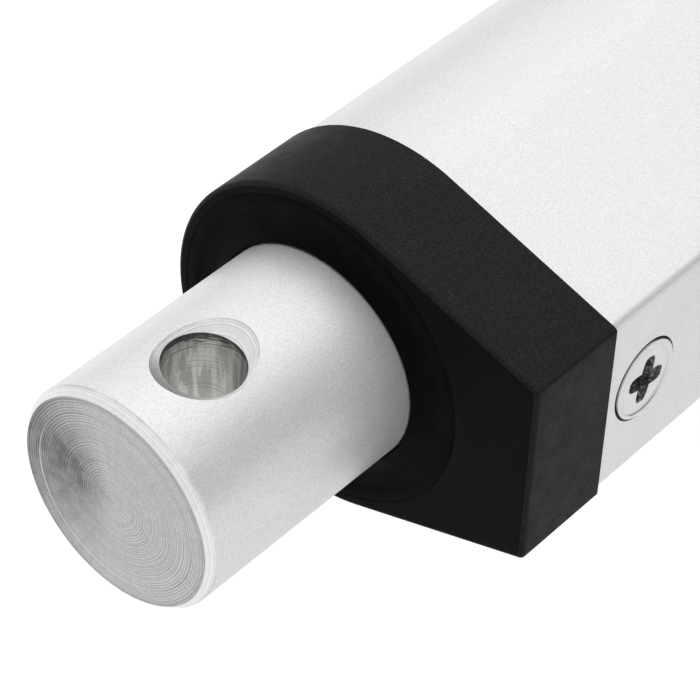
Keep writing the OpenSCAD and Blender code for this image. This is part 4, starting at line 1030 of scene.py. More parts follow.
def rod_end_plug():
    """The turned plug in the rod's end: a solid turning with ringed faces, a
    relieved waist round the cross hole, and tool marks round the hole's bore."""
    slope = settings("rod").waist / MM
    waist_r, waist = ROD_BORE_R - slope, EYE_R + 1.6
    half_window, lead_in, edge = 4.4, 0.8, 0.05
    angles = even_angles(ROD_COLUMNS, EYE_ANGLE)
    middle, back = EYE_AT[0], PLUG_LOW[0]
    eye = straight(middle - half_window, middle + half_window, EYE_CELLS)
    rows = np.concatenate([
        [[back, 0], [back, PLUG_R - lead_in], [back + lead_in, PLUG_R]],
        [[middle - waist - slope, PLUG_R], [middle - waist, waist_r]],
        np.stack([eye, np.full(len(eye), waist_r)], axis=-1),
        [[middle + waist, waist_r], [middle + waist + slope, PLUG_R], [ROD_END - edge, PLUG_R]],
        end_rings(PLUG_R - edge, 0),
    ])
    skin = Skin()
    skip = np.zeros((len(rows), len(angles)), bool)
    for side in (1, -1):
        phi = cut_window(skin, rows, angles, skip, waist_r, eye, eye_hole(side, False))
    phi = np.sort(phi)
    share = np.linspace(1, -1, 241)[:, None]
    heights = np.sqrt(waist_r ** 2 - (EYE_R * np.sin(phi)) ** 2) * share
    # The drill leaves a mark at each step of its feed, tilted a little, and none at the rims.
    feed, depth = 0.42, 0.011
    wander = heights + 0.25 * np.cos(phi) + 0.05 * np.sin(heights * 2.3)
    uneven = 0.6 + 0.4 * np.sin(heights * 3.1 + 2 * phi)
    marks = depth * np.abs(np.sin(wander * math.pi / feed)) * uneven
    radii = EYE_R - marks * np.clip((1 - np.abs(share)) * 20, 0, 1)
    hole_wall(skin, eye_hole(1, False), phi, radii, heights)
    skin.add(lathe(rows, angles), skip=skip)
    piece = add_piece(skin.mesh("turned_end_plug", 24), "rod", "turned_plug", "rod_end_plug")
    part_finish(piece, "drilled_wall", lambda c: hole_distance(c) < EYE_R + 0.001)


def hole_distance(points):
    """Distance of points from the cross hole's axis: the root of the squares of the
    distance along X and of the distance across in the plane of Y and Z."""
    across = points[:, 2] * math.cos(EYE_ANGLE) - points[:, 1] * math.sin(EYE_ANGLE)
    return np.hypot(points[:, 0] - EYE_AT[0], across)


# ------------------------------------------------------------------ tube and cap

def nose_tilt():
    """Angle from +Y at which the flanks leave the round part of the tube. A flank
    touches the circle where the angle of the flat side's edge is exceeded by
    acos(radius / distance of that edge)."""
    half = settings("tube").flat_half / MM
    return math.atan2(half, TUBE_HIGH[1]) + math.acos(TUBE_R / math.hypot(TUBE_HIGH[1], half))


def both_sides(upper):
    """The whole outline from its upper half, which starts and ends on the Y axis:
    the lower half is its mirror image in Z, run backwards."""
    lower = upper[-2:0:-1] * np.array([1, -1])
    return np.concatenate([upper, lower])


FLAT_CELLS = (2, 10)  # across half of the flat side, outside and inside the window


def flat_steps(half, window):
    """Places across half of the flat side, from its edge to its middle: a few
    cells up to a window round the screw hole, then that window's cells."""
    outer, inner = FLAT_CELLS
    return np.concatenate([straight(half, window, outer)[1:], straight(window, 0, inner)[1:]])


def round_angles(end):
    """Angles of the round back's upper half, from -Y over a finer crest down to end."""
    return np.concatenate([
        np.linspace(math.pi, math.radians(102), 30),
        np.linspace(math.radians(102), math.radians(78), 9)[1:],
        np.linspace(math.radians(78), end, 3)[1:],
    ])


def circle(radius, angles):
    """Points of a circle in Y and Z: radius * (cos, sin) of angles from +Y towards +Z."""
    return radius * np.stack([np.cos(angles), np.sin(angles)], axis=-1)


def drop_outline(radius, top, edge):
    """The drop shape in Y and Z: a round back, straight flanks that touch it,
    a flat side at Y = top, and arcs of radius edge between flanks and flat side."""
    tilt = nose_tilt()
    back = circle(radius, round_angles(tilt))
    centre_z = (radius - edge - (top - edge) * math.cos(tilt)) / math.sin(tilt)
    turn = np.linspace(tilt, 0, 9)
    corner = np.stack([top - edge + edge * np.cos(turn), centre_z + edge * np.sin(turn)], axis=-1)
    flank = straight(back[-1], corner[0], 6)[1:-1]
    z = flat_steps(corner[-1, 1], WINDOW_HALF)
    flat = np.stack([np.full(len(z), top), z], axis=-1)
    return both_sides(np.concatenate([back, flank, corner, flat]))


def polar_ring(outline, radius):
    """Points of a circle at the same angles as an outline's points."""
    return circle(radius, np.arctan2(outline[:, 1], outline[:, 0]))


def stations(x, outline):
    """An outline in Y and Z placed at a station along X."""
    return np.column_stack([np.full(len(outline), x), outline])


def front_cap():
    """The moulded cap: the drop shape carried forwards, over a rounded front
    edge and across the face, into the seal's seat and the bush's bore, and
    back over the spigot, as one closed surface. The tongue is a second closed
    surface, a rectangle carried up to the channel's roof round its screw hole."""
    cap = settings("cap")
    edge = cap.edge_round / MM
    front_round = cap.front_round / MM
    bush_r = BUSH_HIGH[2] + FIT
    spigot_r = bush_r + cap.spigot_wall / MM
    seat_r = SEAL_R + FIT
    seat_back = CAP_FRONT - cap.seal_seat / MM
    back = CAP_LOW[0]
    chamfer, soft, lead = 0.3, 0.12, 0.04

    def drop(inset):
        return drop_outline(CAP_R - inset, CAP_HIGH[1] - inset, edge)

    outer, face = drop(0.0), drop(front_round)

    def ring(x, radius, like=outer):
        return stations(x, polar_ring(like, radius))

    rows = [ring(back, bush_r), ring(back, spigot_r - chamfer), ring(back + chamfer, spigot_r)]
    rows += [ring(x, spigot_r) for x in straight(back + 1, CAP_BACK, 3)]
    rows.append(stations(CAP_BACK, drop(soft)))
    rows += [stations(x, outer) for x in straight(CAP_BACK + soft, CAP_FRONT - front_round, 5)]
    for a in np.radians(np.linspace(10, 90, 9)):
        inset = front_round * (1 - math.cos(a))
        rows.append(stations(CAP_FRONT - front_round * (1 - math.sin(a)), drop(inset)))
    inner = polar_ring(face, seat_r + lead)
    for share in np.linspace(0, 1, 9)[1:]:
        rows.append(stations(CAP_FRONT, inner * share + face * (1 - share)))
    for a in np.radians((60, 30, 0)):
        x = CAP_FRONT - lead * (1 - math.sin(a))
        rows.append(ring(x, seat_r + lead * (1 - math.cos(a)), face))
    rows += [ring(x, seat_r) for x in straight(CAP_FRONT - 1, seat_back, 2)]
    rows.append(ring(seat_back, bush_r))
    skin = Skin().add(np.array(rows), wrap_rows=True)
    tongue(skin, (spigot_r + bush_r) / 2)
    piece = add_piece(skin.mesh("moulded_front_cap"), "housing", "black_moulding", "front_cap")
    # The cap's front face gets the smoother moulding with painted shade.
    part_finish(piece, "smooth_shaded_moulding", lambda c: c[:, 0] > CAP_FRONT - 0.01)


def tongue(skin, buried):
    """The cap's tongue in the tube's channel, round the hole of the cap screw.
    Its foot is buried in the spigot's wall, at that radius."""
    half_z = SWITCH_HIGH[2] + TUBE_FIT
    roof = CHANNEL_TOP - TUBE_FIT
    x0, x1 = CAP_LOW[0], CAP_BACK
    hole_r, steps = M4_R + 0.05, 12
    x = np.concatenate([
        straight(x0, x1, steps)[:-1], np.full(steps, x1), straight(x1, x0, steps)[:-1], np.full(steps, x0)
    ])
    z = np.concatenate([
        np.full(steps, half_z), straight(half_z, -half_z, steps)[:-1],
        np.full(steps, -half_z), straight(-half_z, half_z, steps)[:-1],
    ])
    turn = np.arctan2(z / half_z, (x - CAP_SCREW_X) / (x1 - CAP_SCREW_X))
    hole_x, hole_z = CAP_SCREW_X + hole_r * np.cos(turn), hole_r * np.sin(turn)
    rows = [
        np.stack(np.broadcast_arrays(xs, y, zs), axis=-1) for xs, y, zs in (
            (x, np.sqrt(buried ** 2 - z ** 2), z),
            (x, roof, z),
            (hole_x, roof, hole_z),
            (hole_x, np.sqrt(buried ** 2 - hole_z ** 2), hole_z),
        )
    ]
    skin.add(np.array(rows), wrap_rows=True)


def wiper_seal():
    """The wiper: a flat face level with the cap's, which falls a little towards
    the rod and rises again to a lip that closes on it with a rounded edge."""
    lip_r = ROD_R + 0.05
    back, tip = SEAL_LOW[0], SEAL_HIGH[0]
    face = CAP_FRONT - 0.04
    # The dish is a shallow arc about a point in front of the face.
    edge, flat, dish, lip_round = 0.03, 0.6, 3.0, 0.22
    rows = np.concatenate([
        [[back, lip_r + 0.3], [back, SEAL_R - 0.1], [back + 0.1, SEAL_R], [face - edge, SEAL_R]],
        [[face, SEAL_R - edge], [face, SEAL_R - flat]],
        bend((face + 2.9, SEAL_R - 1.9), dish, 163, 188, 8),
        straight((face - 0.10, lip_r + 1.5), (tip - lip_round, lip_r + 0.55), 6),
        bend((tip - lip_round, lip_r + 0.24), lip_round, 60, -80, 7),
        [[tip - 0.7, lip_r + 0.02], [tip - 1.3, lip_r + 0.3], [back + 0.9, lip_r + 0.5]],
    ])
    skin = Skin().add(lathe(rows, even_angles(160)), wrap_rows=True)
    add_piece(skin.mesh("rubber_wiper_seal", sharp=50), "housing", "black_rubber", "wiper_seal")


def body_tube():
    """The extruded tube: the drop shape outside, and inside a bore with the
    switches' channel and the board's slots, carried from end to end as one
    closed surface, with the cap screw's countersunk hole in the flat side."""
    tube = settings("tube")
    side = TUBE_HIGH[1]
    outer = drop_outline(TUBE_R, side, tube.edge_round / MM)
    inner = tube_inside()
    if len(inner) != len(outer):
        raise RuntimeError("the tube's two outlines need as many points as each other")
    cells = 2 * FLAT_CELLS[1]
    window = straight(CAP_SCREW_X - WINDOW_HALF, CAP_SCREW_X + WINDOW_HALF, cells)
    x = np.concatenate([straight(TUBE_LOW[0], window[0], 16)[:-1], window, [TUBE_HIGH[0]]])
    grid = np.array([stations(at, outer) for at in x] + [stations(at, inner) for at in x[::-1]])
    skip = np.zeros(grid.shape[:2], bool)
    middle = len(outer) // 2
    columns = np.arange(middle - FLAT_CELLS[1], middle + FLAT_CELLS[1] + 1)
    skin = Skin()
    screw_r = M4_R + tube.play / MM
    sunk_r = screw_r + (side - CHANNEL_TOP)
    rims = []
    for first, radius, drift in ((len(x) - 2 - cells, sunk_r, tube.drift / MM), (len(x) + 1, screw_r, 0.0)):
        skip[first : first + cells, columns[:-1]] = True
        rims.append(flat_window(skin, grid[first : first + cells + 1, columns], radius, drift))
    share = np.linspace(0, 1, 13)[:, None, None]
    skin.add(rims[0] + (rims[1] - rims[0]) * share)
    skin.add(grid, wrap_rows=True, skip=skip)
    piece = add_piece(skin.mesh("extruded_body_tube"), "housing", "anodised_tube", "body_tube")

    def in_sink(centres):
        x, y, z = centres.T
        return (np.hypot(x - CAP_SCREW_X, z) < sunk_r) & (y > CHANNEL_TOP) & (y < side - FIT)

    part_finish(piece, "hole_shade", in_sink)


def tube_inside():
    """Outline of the tube's inside: the spigot's bore, the switches' channel and
    the slots in its walls that the board's edges slide in."""
    half = SWITCH_HIGH[2] + 0.2
    slot = BOARD_HIGH[2] + TUBE_FIT
    bore_r = BUSH_HIGH[2] + FIT + settings("cap").spigot_wall / MM + TUBE_FIT
    back = circle(bore_r, round_angles(math.asin(half / bore_r)))
    low, high = BOARD_LOW[1] - TUBE_FIT, BOARD_HIGH[1] + TUBE_FIT
    walls = np.array([
        [low - 3, half], [low - 2, half], [low - 1, half], [low, half],
        [low, slot - 0.3], [low, slot], [low + 0.6, slot], [high - 0.4, slot],
        [high, slot], [high, slot - 0.4], [high, half], [high + 0.1, half],
        [high + 0.2, half], [CHANNEL_TOP, half],
    ])
    window = 4.4
    z = flat_steps(half, window)
    roof = np.stack([np.full(len(z), CHANNEL_TOP), z], axis=-1)
    return both_sides(np.concatenate([back, walls, roof]))


def flat_window(skin, cells, radius, drift):
    """Fills a flat window of the tube's wall up to the screw's round hole, in straight
    steps. The hole may stand a little off the screw, by drift along X and Z."""
    edge = np.concatenate([cells[0, :-1], cells[:-1, -1], cells[-1, :0:-1], cells[:0:-1, 0]])
    x, y, z = edge.T
    turn = np.arctan2(z / np.abs(z).max(), (x - CAP_SCREW_X) / WINDOW_HALF)
    order = np.argsort(turn)
    edge, turn = edge[order], turn[order]
    rim_x = CAP_SCREW_X + drift + radius * np.cos(turn)
    rim = np.stack([rim_x, y[order], drift + radius * np.sin(turn)], axis=-1)
    skin.add(rim + (edge - rim) * np.linspace(0, 1, 6)[:, None, None])
    return rim


# ------------------------------------------------------------------------ screws

def cross_angles(arm, width):
    """Angles of a screw head's columns, with one at every corner of the cross."""
    corner = math.atan2(width / 2, arm)
    quarter = np.concatenate([
        np.linspace(0, corner, 5)[:-1], np.linspace(corner, math.pi / 4, 6)[:-1],
        np.linspace(math.pi / 4, math.pi / 2 - corner, 6)[:-1],
        np.linspace(math.pi / 2 - corner, math.pi / 2, 5)[:-1],
    ])
    return np.concatenate([quarter + k * math.pi / 2 for k in range(4)])


def cross_ring(angles, arm, width):
    """Distance from the middle to the edge of a cross of two bars with rounded
    ends: for each bar (|cos / arm|^4 + |sin / half width|^4)^(-1/4)."""
    c, s = np.abs(np.cos(angles)), np.abs(np.sin(angles))
    along_y = ((c / arm) ** 4 + (2 * s / width) ** 4) ** -0.25
    along_z = ((s / arm) ** 4 + (2 * c / width) ** 4) ** -0.25
    return np.maximum(along_y, along_z)


def screw_surface(skin, place, head_r, shank_r, shank, pitch, head, domed):
    """A cross-recessed screw about its own X axis, with its head's top near x = 0.

    Circles run from the tip over the thread and the head's underside to its
    top. There the circles turn into crosses that narrow down to the floor of
    the recess. place turns and moves the points to the screw's place.
    """
    arm, width = head_r * 0.58, head_r * 0.42
    angles = cross_angles(arm, width)
    turns = int((shank - 1.2 * pitch - head) / pitch) - 1
    x0 = 0.3 - shank
    thread_end = x0 + pitch * (turns + 1)
    core = shank_r * 0.78
    rows, lip = domed_head(head, head_r) if domed else flat_head(head_r)
    sub = Skin().add(lathe([(-shank, 0.0), (-shank, core - 0.35), (x0, core)], angles))
    thread(sub, x0, turns, pitch, core, core, shank_r, METRIC, angles)
    sub.add(lathe([(thread_end, core), (thread_end + 0.15, shank_r), (-head, shank_r)] + rows, angles))
    recess = [lathe(rows[-1:], angles)[0]]
    for x, share in ((lip, 1.05), (lip - 0.10, 0.94), (-head * 0.72, 0.66)):
        r = cross_ring(angles, arm * share, width * (0.55 + 0.45 * share))
        recess.append(round_x(x, r, angles))
    recess.append(round_x(-head * 0.86, 0.0, angles))
    sub.add(np.array(recess))
    skin.points += [place(points) for points in sub.points]
    skin.faces += [faces + skin.count for faces in sub.faces]
    skin.count += sub.count


def domed_head(head, head_r):
    """Rows of a domed head above its underside, and the height of its recess's lip."""
    rows = [(-head, head_r - 0.1), (0.1 - head, head_r)]
    for a in np.linspace(0.25, 1.45, 8):
        rows.append((-head * (1 - math.sin(a)) * 0.75, head_r * (0.62 + 0.38 * math.cos(a))))
    return rows, -0.02 * head


def flat_head(head_r):
    """Rows of a countersunk head above its shank, with a shallow ring pressed into
    its flat top, and the height of its recess's lip."""
    lip, ring = -0.04, -0.09
    return [
        (-0.22, head_r - 0.02), (-0.12, head_r), (-0.03, head_r - 0.03),
        (0.0, head_r - 0.10), (0.0, head_r - 0.34), (ring, head_r - 0.46), (ring, head_r - 0.60),
        (lip, head_r - 0.72), (lip, head_r * 0.64),
    ], lip


def head_side(points):
    """Where a screw's head faces: the axis and sign of its wider end, and how far it reaches."""
    best = None
    for axis in range(3):
        for sign in (-1, 1):
            reach = (points[:, axis] * sign).max()
            rim = points[points[:, axis] * sign > reach - 0.01]
            spread = sorted(np.ptp(rim, axis=0))
            if best is None or spread[1] + spread[2] > best[0]:
                best = (spread[1] + spread[2], axis, sign, reach)
    return best[1:]


def screws(name, node, shank_r, head, pitch, domed, first_turn=0.5, proud=0.0):
    """Every screw of a CAD node of the housing, each at its own solid's place, with its
    own turn of the recess. A screw that wasn't driven home stands proud by a little."""
    skin = Skin()
    recesses = []
    for number, points in enumerate(node_solids(node)):
        axis, sign, reach = head_side(points)
        out = np.zeros(3)
        out[axis] = sign
        side = np.roll(np.abs(out), 1)
        third = np.cross(out, side)
        tilt = first_turn + 1.1 * number
        u = side * math.cos(tilt) + third * math.sin(tilt)
        turn = np.stack([out, u, np.cross(out, u)])
        base = (points.min(0) + points.max(0)) / 2
        base[axis] = (reach + proud) * sign
        shank = np.ptp(points[:, axis])
        head_r = np.ptp(points[:, 1 if axis == 0 else 0]) / 2

        def place(own):
            return own @ turn + base

        screw_surface(skin, place, head_r, shank_r, shank, pitch, head, domed)
        recesses.append((base, turn, head_r * 0.61))
    piece = add_piece(skin.mesh(name), "housing", "zinc_screw", node)

    def in_recess(centres):
        found = np.zeros(len(centres), bool)
        for base, turn, reach in recesses:
            x, y, z = turn @ (centres - base).T
            found |= (x < -0.09) & (x > -head) & (np.hypot(y, z) < reach)
        return found

    part_finish(piece, "recess_shade", in_recess)


def lead_screw():
    """The lead screw: turned journals with clip grooves, a collar, and a
    trapezoidal thread that the nut runs on."""
    screw = settings("screws")
    low, high = box("lead_screw")
    points = node_points("lead_screw")
    station, radius = points[:, 0], np.hypot(points[:, 1], points[:, 2])
    collar_r = radius.max()
    collar = station[radius > collar_r - 0.01]
    x0, x1 = collar.max(), box("screw_end_guide")[0][0]
    inner_low, inner_high = box("bearing_inner_ring")
    thread_r = radius[station > x0 + 1].max()
    tail_r = radius[station > x1 + 0.5].max()
    seat_r = radius[(station > inner_low[0] + 0.5) & (station < inner_high[0] + FIT)].max()
    seat_back = box("gear_housing")[0][0]
    groove, edge, rim = 0.25, 0.4, 0.2
    rows = [
        (low[0], 0), (low[0], tail_r - edge), (low[0] + edge, tail_r),
        (seat_back, tail_r), (seat_back, seat_r),
    ]
    for clip in sorted(node_solids("shaft_clips"), key=lambda p: p[:, 0].min()):
        rows += clip_groove(clip[:, 0].min(), clip[:, 0].max(), seat_r, groove)
    pitch = screw.lead / MM
    root_r = thread_r - screw.lead_depth / MM
    end_r = root_r + 0.2
    x1 -= FIT
    turns = int((x1 - x0) / pitch) - 1
    thread_start = x1 - pitch * (turns + 1)
    rows += [
        (collar.min(), seat_r), (collar.min(), collar_r - rim), (collar.min() + rim, collar_r),
        (x0 - rim, collar_r), (x0, collar_r - rim), (x0, end_r), (thread_start, end_r),
    ]
    angles = even_angles(48)
    skin = Skin().add(lathe(rows, angles))
    thread(skin, thread_start, turns, pitch, end_r, root_r, thread_r, TRAPEZOID, angles, run=0.5)
    clip_low, clip_high = box("guide_clip")
    skin.add(lathe([
        (x1, end_r), (x1, tail_r), *clip_groove(clip_low[0], clip_high[0], tail_r, groove),
        (high[0] - edge, tail_r), (high[0], tail_r - edge), (high[0], 0),
    ], angles))
    add_piece(skin.mesh("threaded_lead_screw"), "screw", "screw_steel", "lead_screw")


def clip_groove(x0, x1, radius, depth):
    """Rows of a clip's groove in a journal."""
    return [(x0, radius), (x0, radius - depth), (x1, radius - depth), (x1, radius)]


# ------------------------------------------------------------- motor and rear end

def motor_end_cap():
    """The motor's end cap: a turning with a rounded edge, a shallow ring round
    the grommet, and the spigot that the shell's screws hold."""
    edge = settings("housing").end_round / MM
    spigot_r, way_r = end_spigot_r(), cable_neck_r()
    inner_r = spigot_r - 2.6
    x0, x1 = END_LOW[0], END_HIGH[0]
    front = SHELL_HIGH[0]
    soft, chamfer, sunk = 0.25, 0.3, 0.4
    rows = np.concatenate([
        [[x0, inner_r], [x0, spigot_r - chamfer], [x0 + chamfer, spigot_r], [front, spigot_r]],
        [[front, SHELL_R - soft], [front + soft, SHELL_R]],
        bend((x1 - edge, SHELL_R - edge), edge, 90, 0, 14),
        [[x1, SHELL_R * 0.72], [x1 - sunk, SHELL_R * 0.70], [x1 - sunk, way_r + 3.2], [x1, way_r + 3.0]],
        [[x1, way_r], [x1 - END_WALL, way_r], [x1 - END_WALL, inner_r]],
    ])
    skin = Skin().add(about_motor(lathe(rows, even_angles(128))), wrap_rows=True)
    add_piece(skin.mesh("moulded_motor_end_cap"), "housing", "black_moulding", "motor_end_cap")


def end_cap_radii(x):
    """Distances from the motor's axis of the end cap's CAD vertices at a station."""
    points = node_points("motor_end_cap")
    points = points[np.abs(points[:, 0] - x) < 0.01]
    return np.hypot(points[:, 1] - MOTOR_Y, points[:, 2])


def end_spigot_r():
    """Radius of the end cap's spigot inside the shell, from its back edge."""
    return end_cap_radii(END_LOW[0]).max()


def cable_neck_r():
    """Radius of the end cap's hole, from its front face."""
    return end_cap_radii(END_HIGH[0]).min()


def cable_grommet():
    """The rubber grommet: two lips that hold the end cap's wall, with rounded edges."""
    low, high = box("cable_grommet")
    lip_r = high[2]
    way_r = mount("cable_inlet")[2]
    neck_r = cable_neck_r() - FIT
    face = END_HIGH[0]
    inner_face = face - END_WALL - FIT
    rows = np.concatenate([
        [[low[0], way_r + 0.2], [low[0], lip_r - 0.3]],
        bend((low[0] + 0.3, lip_r - 0.3), 0.3, 180, 90, 4)[1:],
        [[inner_face, lip_r], [inner_face, neck_r], [face + FIT, neck_r], [face + FIT, lip_r - 0.1]],
        bend((face + 0.6, lip_r - 0.5), 0.5, 90, 35, 5),
        bend((high[0] - 0.4, lip_r - 1.6), 0.4, 35, 0, 4),
        [[high[0], way_r + 0.5]],
        bend((high[0] - 0.4, way_r + 0.4), 0.4, 0, -90, 5)[1:],
        [[low[0] + 0.2, way_r]],
    ])
    skin = Skin().add(about_motor(lathe(rows, even_angles(96))), wrap_rows=True)
    add_piece(skin.mesh("rubber_cable_grommet"), "housing", "black_rubber", "cable_grommet")


def rear_eye_bush():
    """The rolled steel bush in the rear lug, with chamfered ends, turned about Z."""
    low, high = box("rear_eye_bush")
    outer, inner = high[0], mount("rear_eye")[2]
    edge = 0.3
    small = edge * 0.6
    rows = [
        (low[2], inner + edge), (low[2], outer - small), (low[2] + small, outer),
        (high[2] - small, outer), (high[2], outer - small), (high[2], inner + edge),
        (high[2] - edge, inner), (low[2] + edge, inner),
    ]
    skin = Skin().add(lathe(rows, even_angles(96))[..., [1, 2, 0]], wrap_rows=True)
    add_piece(skin.mesh("steel_eye_bush"), "housing", "bright_steel", "rear_eye_bush")


def smoothed(node, name, body, slot, sharp):
    """A merged copy of a CAD node whose facets are shaded as one surface up to a sharp angle."""
    mesh = frame["nodes"][node].data
    points = node_points(node)
    corners = np.empty(len(mesh.loops), np.int64)
    mesh.loops.foreach_get("vertex_index", corners)
    first, inverse = np.unique(np.round(points, 4), axis=0, return_index=True, return_inverse=True)[1:]
    triangles = inverse.ravel()[corners].reshape(-1, 3)
    a, b, c = triangles.T
    triangles = triangles[(a != b) & (b != c) & (a != c)]
    made = make_mesh(name, points[first], np.empty((0, 4), np.int64), triangles, sharp)
    add_piece(made, body, slot, node)


# ------------------------------------------------------------------------- stage

def white_to_eye(tree, shader, strength, share, mirrored):
    """Mixes an emission into a shader: by share for camera rays, and by mirrored
    for glossy and transmission rays."""
    path = tree.nodes.new("ShaderNodeLightPath")
    seen = None
    for ray, much in (("Camera", share), ("Glossy", mirrored), ("Transmission", mirrored)):
        part = tree.nodes.new("ShaderNodeMath")
        part.operation = "MULTIPLY"
        tree.links.new(path.outputs[f"Is {ray} Ray"], part.inputs[0])
        part.inputs[1].default_value = much
        if seen:
            larger = tree.nodes.new("ShaderNodeMath")
            larger.operation = "MAXIMUM"
            tree.links.new(seen, larger.inputs[0])
            tree.links.new(part.outputs[0], larger.inputs[1])
            part = larger
        seen = part.outputs[0]
    glow = tree.nodes.new("ShaderNodeEmission")
    glow.inputs["Color"].default_value = (1, 1, 1, 1)
    glow.inputs["Strength"].default_value = strength
    mixed = tree.nodes.new("ShaderNodeMixShader")
    tree.links.new(seen, mixed.inputs["Fac"])
    tree.links.new(shader, mixed.inputs[1])
    tree.links.new(glow.outputs[0], mixed.inputs[2])
    return mixed.outputs[0]


def flat_sheet(name, look, corners):
    """A four-sided sheet with corners in metres, and the node tree of its material."""
    mesh = bpy.data.meshes.new(name)
    mesh.from_pydata(corners, [], [(0, 1, 2, 3)])
    sheet = bpy.data.objects.new(name, mesh)
    bpy.context.scene.collection.objects.link(sheet)
    material = bpy.data.materials.new(look)
    material.use_nodes = True
    mesh.materials.append(material)
    return sheet, material.node_tree


def add_floor():
    """A wide pale floor at the object's lowest point, white where nothing shades it."""
    low, half = CAD_BOX[0][2], 3.0
    corners = [(x * half, y * half, low) for x, y in ((-1, -1), (1, -1), (1, 1), (-1, 1))]
    floor, tree = flat_sheet("floor", "Pale floor", corners)
    shader = tree.nodes["Principled BSDF"]
    shader.inputs["Base Color"].default_value = (0.8, 0.8, 0.8, 1)
    shader.inputs["Roughness"].default_value = 0.9
    surface = white_to_eye(tree, shader.outputs[0], 1.12, 0.88, 0.85)
    tree.links.new(surface, tree.nodes["Material Output"].inputs["Surface"])


def add_lamp(name, place, target, size, power):
    """A square softbox at a place, in millimetres, that faces a target. It lights
    without a mirror image of its own: metal shows the white room instead."""
    data = bpy.data.lights.new(name, "AREA")
    data.shape = "SQUARE"
    data.size = size * MM
    data.energy = power
    lamp = bpy.data.objects.new(name, data)
    lamp.location = Vector(place) * MM
    lamp.visible_glossy = False
    lamp.rotation_euler = (Vector(target) - Vector(place)).to_track_quat("-Z", "Y").to_euler()
    bpy.context.scene.collection.objects.link(lamp)


def add_card(name, corner, along, up, level):
    """A grey card that only reflections see: it draws the darker bands in the metal."""
    a, b, c = (np.array(v, float) * MM for v in (corner, along, up))
    card, tree = flat_sheet(name, name, [tuple(p) for p in (a, a + b, a + b + c, a + c)])
    shader = tree.nodes["Principled BSDF"]
    shader.inputs["Base Color"].default_value = (0, 0, 0, 1)
    shader.inputs["Specular IOR Level"].default_value = 0.0
    shader.inputs["Emission Color"].default_value = (1, 1, 1, 1)
    shader.inputs["Emission Strength"].default_value = level
    for ray in ("camera", "diffuse", "transmission", "volume_scatter", "shadow"):
        setattr(card, "visible_" + ray, False)


def add_camera():
    """The camera, on a sphere about its target."""
    stage = settings("stage")
    az, el, roll = stage.azimuth, stage.elevation, stage.roll
    back = Vector((math.cos(az) * math.cos(el), math.sin(az) * math.cos(el), math.sin(el)))
    level = Vector((0, 0, 1)).cross(back).normalized()
    upright = back.cross(level)
    right = math.cos(roll) * level + math.sin(roll) * upright
    up = -math.sin(roll) * level + math.cos(roll) * upright
    data = bpy.data.cameras.new("camera")
    data.lens = stage.lens
    data.sensor_width = 36
    data.clip_start = 0.01
    camera = bpy.data.objects.new("camera", data)
    turn = Matrix((right, up, back)).transposed().to_4x4()
    camera.matrix_world = Matrix.Translation(Vector(stage.target) + back * stage.distance) @ turn
    bpy.context.scene.collection.objects.link(camera)
    bpy.context.scene.camera = camera


def add_world():
    """A dim white room, which the eye and the reflections see brighter than it lights."""
    world = bpy.data.worlds.new("studio")
    bpy.context.scene.world = world
    world.use_nodes = True
    tree = world.node_tree
    background = tree.nodes["Background"]
    background.inputs["Color"].default_value = (1, 1, 1, 1)
    background.inputs["Strength"].default_value = settings("stage").ambient
    surface = white_to_eye(tree, background.outputs[0], 1.0, 1.0, 0.8)
    tree.links.new(surface, tree.nodes["World Output"].inputs["Surface"])


# --------------------------------------------------------------------- operators

class ACTUATOR_OT_rod(bpy.types.Operator):
    """Turns the rod tube and its end plug, with the cross hole and its countersinks"""

    bl_idname = "actuator.rod"
    bl_label = "Rod and end plug"

    def execute(self, context):
        rod_tube()
        rod_end_plug()
        return {"FINISHED"}


class ACTUATOR_OT_front_end(bpy.types.Operator):
    """Lofts the front cap and turns the wiper seal"""

    bl_idname = "actuator.front_end"
    bl_label = "Front cap and seal"

    def execute(self, context):
        front_cap()
        wiper_seal()
        return {"FINISHED"}


class ACTUATOR_OT_body_tube(bpy.types.Operator):
    """Carries the drop profile along the body tube"""

    bl_idname = "actuator.body_tube"
    bl_label = "Body tube"

    def execute(self, context):
        body_tube()
        return {"FINISHED"}


class ACTUATOR_OT_screws(bpy.types.Operator):
    """Cuts the lead screw and every cross-recessed fastener, with their threads"""

    bl_idname = "actuator.screws"
    bl_label = "Lead screw and fasteners"

    def execute(self, context):
        screw = settings("screws")
        large = M4_R, 1.7, screw.coarse_pitch / MM, False
        small = M3_R, 1.25, screw.fine_pitch / MM, False
        domed = M3_R, 2.4, screw.fine_pitch / MM, True
        lead_screw()
        screws("cap_fixing_screw", "cap_screw", *large, first_turn=-0.2, proud=0.2)
        screws("tube_fixing_screws", "tube_screws", *large)
        screws("shell_fixing_screws", "shell_screws", *small)
        screws("end_cap_fixing_screws", "end_cap_screws", *small)
        screws("cover_fixing_screws", "cover_screws", *domed)
        screws("motor_fixing_screws", "motor_screws", *domed)
        return {"FINISHED"}


class ACTUATOR_OT_rear_end(bpy.types.Operator):
    """Shades the cast housing and cover, and turns the eye's bush"""

    bl_idname = "actuator.rear_end"
    bl_label = "Gear housing and rear cover"

    def execute(self, context):
        smoothed("gear_housing", "cast_gear_housing", "housing", "black_casting", 32)
        smoothed("rear_cover", "cast_rear_cover", "housing", "black_casting", 32)
        rear_eye_bush()
        return {"FINISHED"}


class ACTUATOR_OT_motor(bpy.types.Operator):
    """Turns the motor's end cap and the grommet of its cable inlet"""

    bl_idname = "actuator.motor"
    bl_label = "Motor end cap and grommet"

    def execute(self, context):
        motor_end_cap()
        cable_grommet()
        return {"FINISHED"}


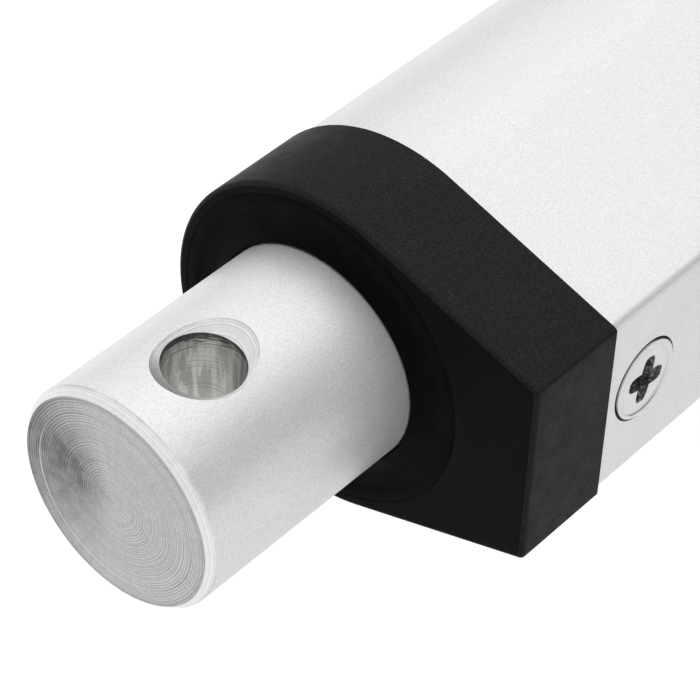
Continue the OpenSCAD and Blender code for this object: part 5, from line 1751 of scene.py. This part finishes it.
class ACTUATOR_OT_finishes(bpy.types.Operator):
    """Gives every carried-over CAD node the finish of its material slot"""

    bl_idname = "actuator.finishes"
    bl_label = "Finishes of the other parts"

    def execute(self, context):
        for node in frame["nodes"].values():
            for place in node.material_slots:
                place.material = finish(place.material.name)
        return {"FINISHED"}


class ACTUATOR_OT_stage(bpy.types.Operator):
    """Lays the floor and sets the lamps, the world and the camera"""

    bl_idname = "actuator.stage"
    bl_label = "Stage"

    def execute(self, context):
        stage = settings("stage")
        context.scene.view_settings.view_transform = "Standard"
        target = tuple(v / MM for v in stage.target)
        x, y = target[:2]
        add_camera()
        add_floor()
        add_world()
        add_lamp("key_softbox", (x - 250, y - 60, 900), target, 900, stage.key_power)
        add_lamp("fill_softbox", (x + 500, y + 800, 300), target, 500, stage.fill_power)
        add_card("back_card", (60, 1300, 90), (-1050, -730, 0), (0, 0, 1000), 0.10)
        add_card("left_card", (-938, -650, -15), (900, -630, 0), (0, 0, 300), 0.35)
        return {"FINISHED"}


OPERATORS = [
    ACTUATOR_OT_rod, ACTUATOR_OT_front_end, ACTUATOR_OT_body_tube, ACTUATOR_OT_screws,
    ACTUATOR_OT_rear_end, ACTUATOR_OT_motor, ACTUATOR_OT_finishes, ACTUATOR_OT_stage,
]


class ACTUATOR_PT_pieces(bpy.types.Panel):
    """Lists the actuator's pieces and its stage"""

    bl_label = "Actuator"
    bl_idname = "ACTUATOR_PT_pieces"
    bl_space_type = "VIEW_3D"
    bl_region_type = "UI"
    bl_category = "Actuator"

    def draw(self, context):
        for operator in OPERATORS:
            self.layout.operator(operator.bl_idname)
        for group, kind in SETTINGS.items():
            box_layout = self.layout.box()
            for name in kind.__annotations__:
                box_layout.prop(settings(group), name)


CLASSES = [*SETTINGS.values(), *OPERATORS, ACTUATOR_PT_pieces]


def register():
    for kind in CLASSES:
        bpy.utils.register_class(kind)
    for group, kind in SETTINGS.items():
        setattr(bpy.types.Scene, "actuator_" + group, PointerProperty(type=kind))


def unregister():
    for group in SETTINGS:
        delattr(bpy.types.Scene, "actuator_" + group)
    for kind in reversed(CLASSES):
        bpy.utils.unregister_class(kind)


def main():
    register()
    for operator in OPERATORS:
        group, name = operator.bl_idname.split(".")
        getattr(getattr(bpy.ops, group), name)()


if __name__ == "__main__":
    main()
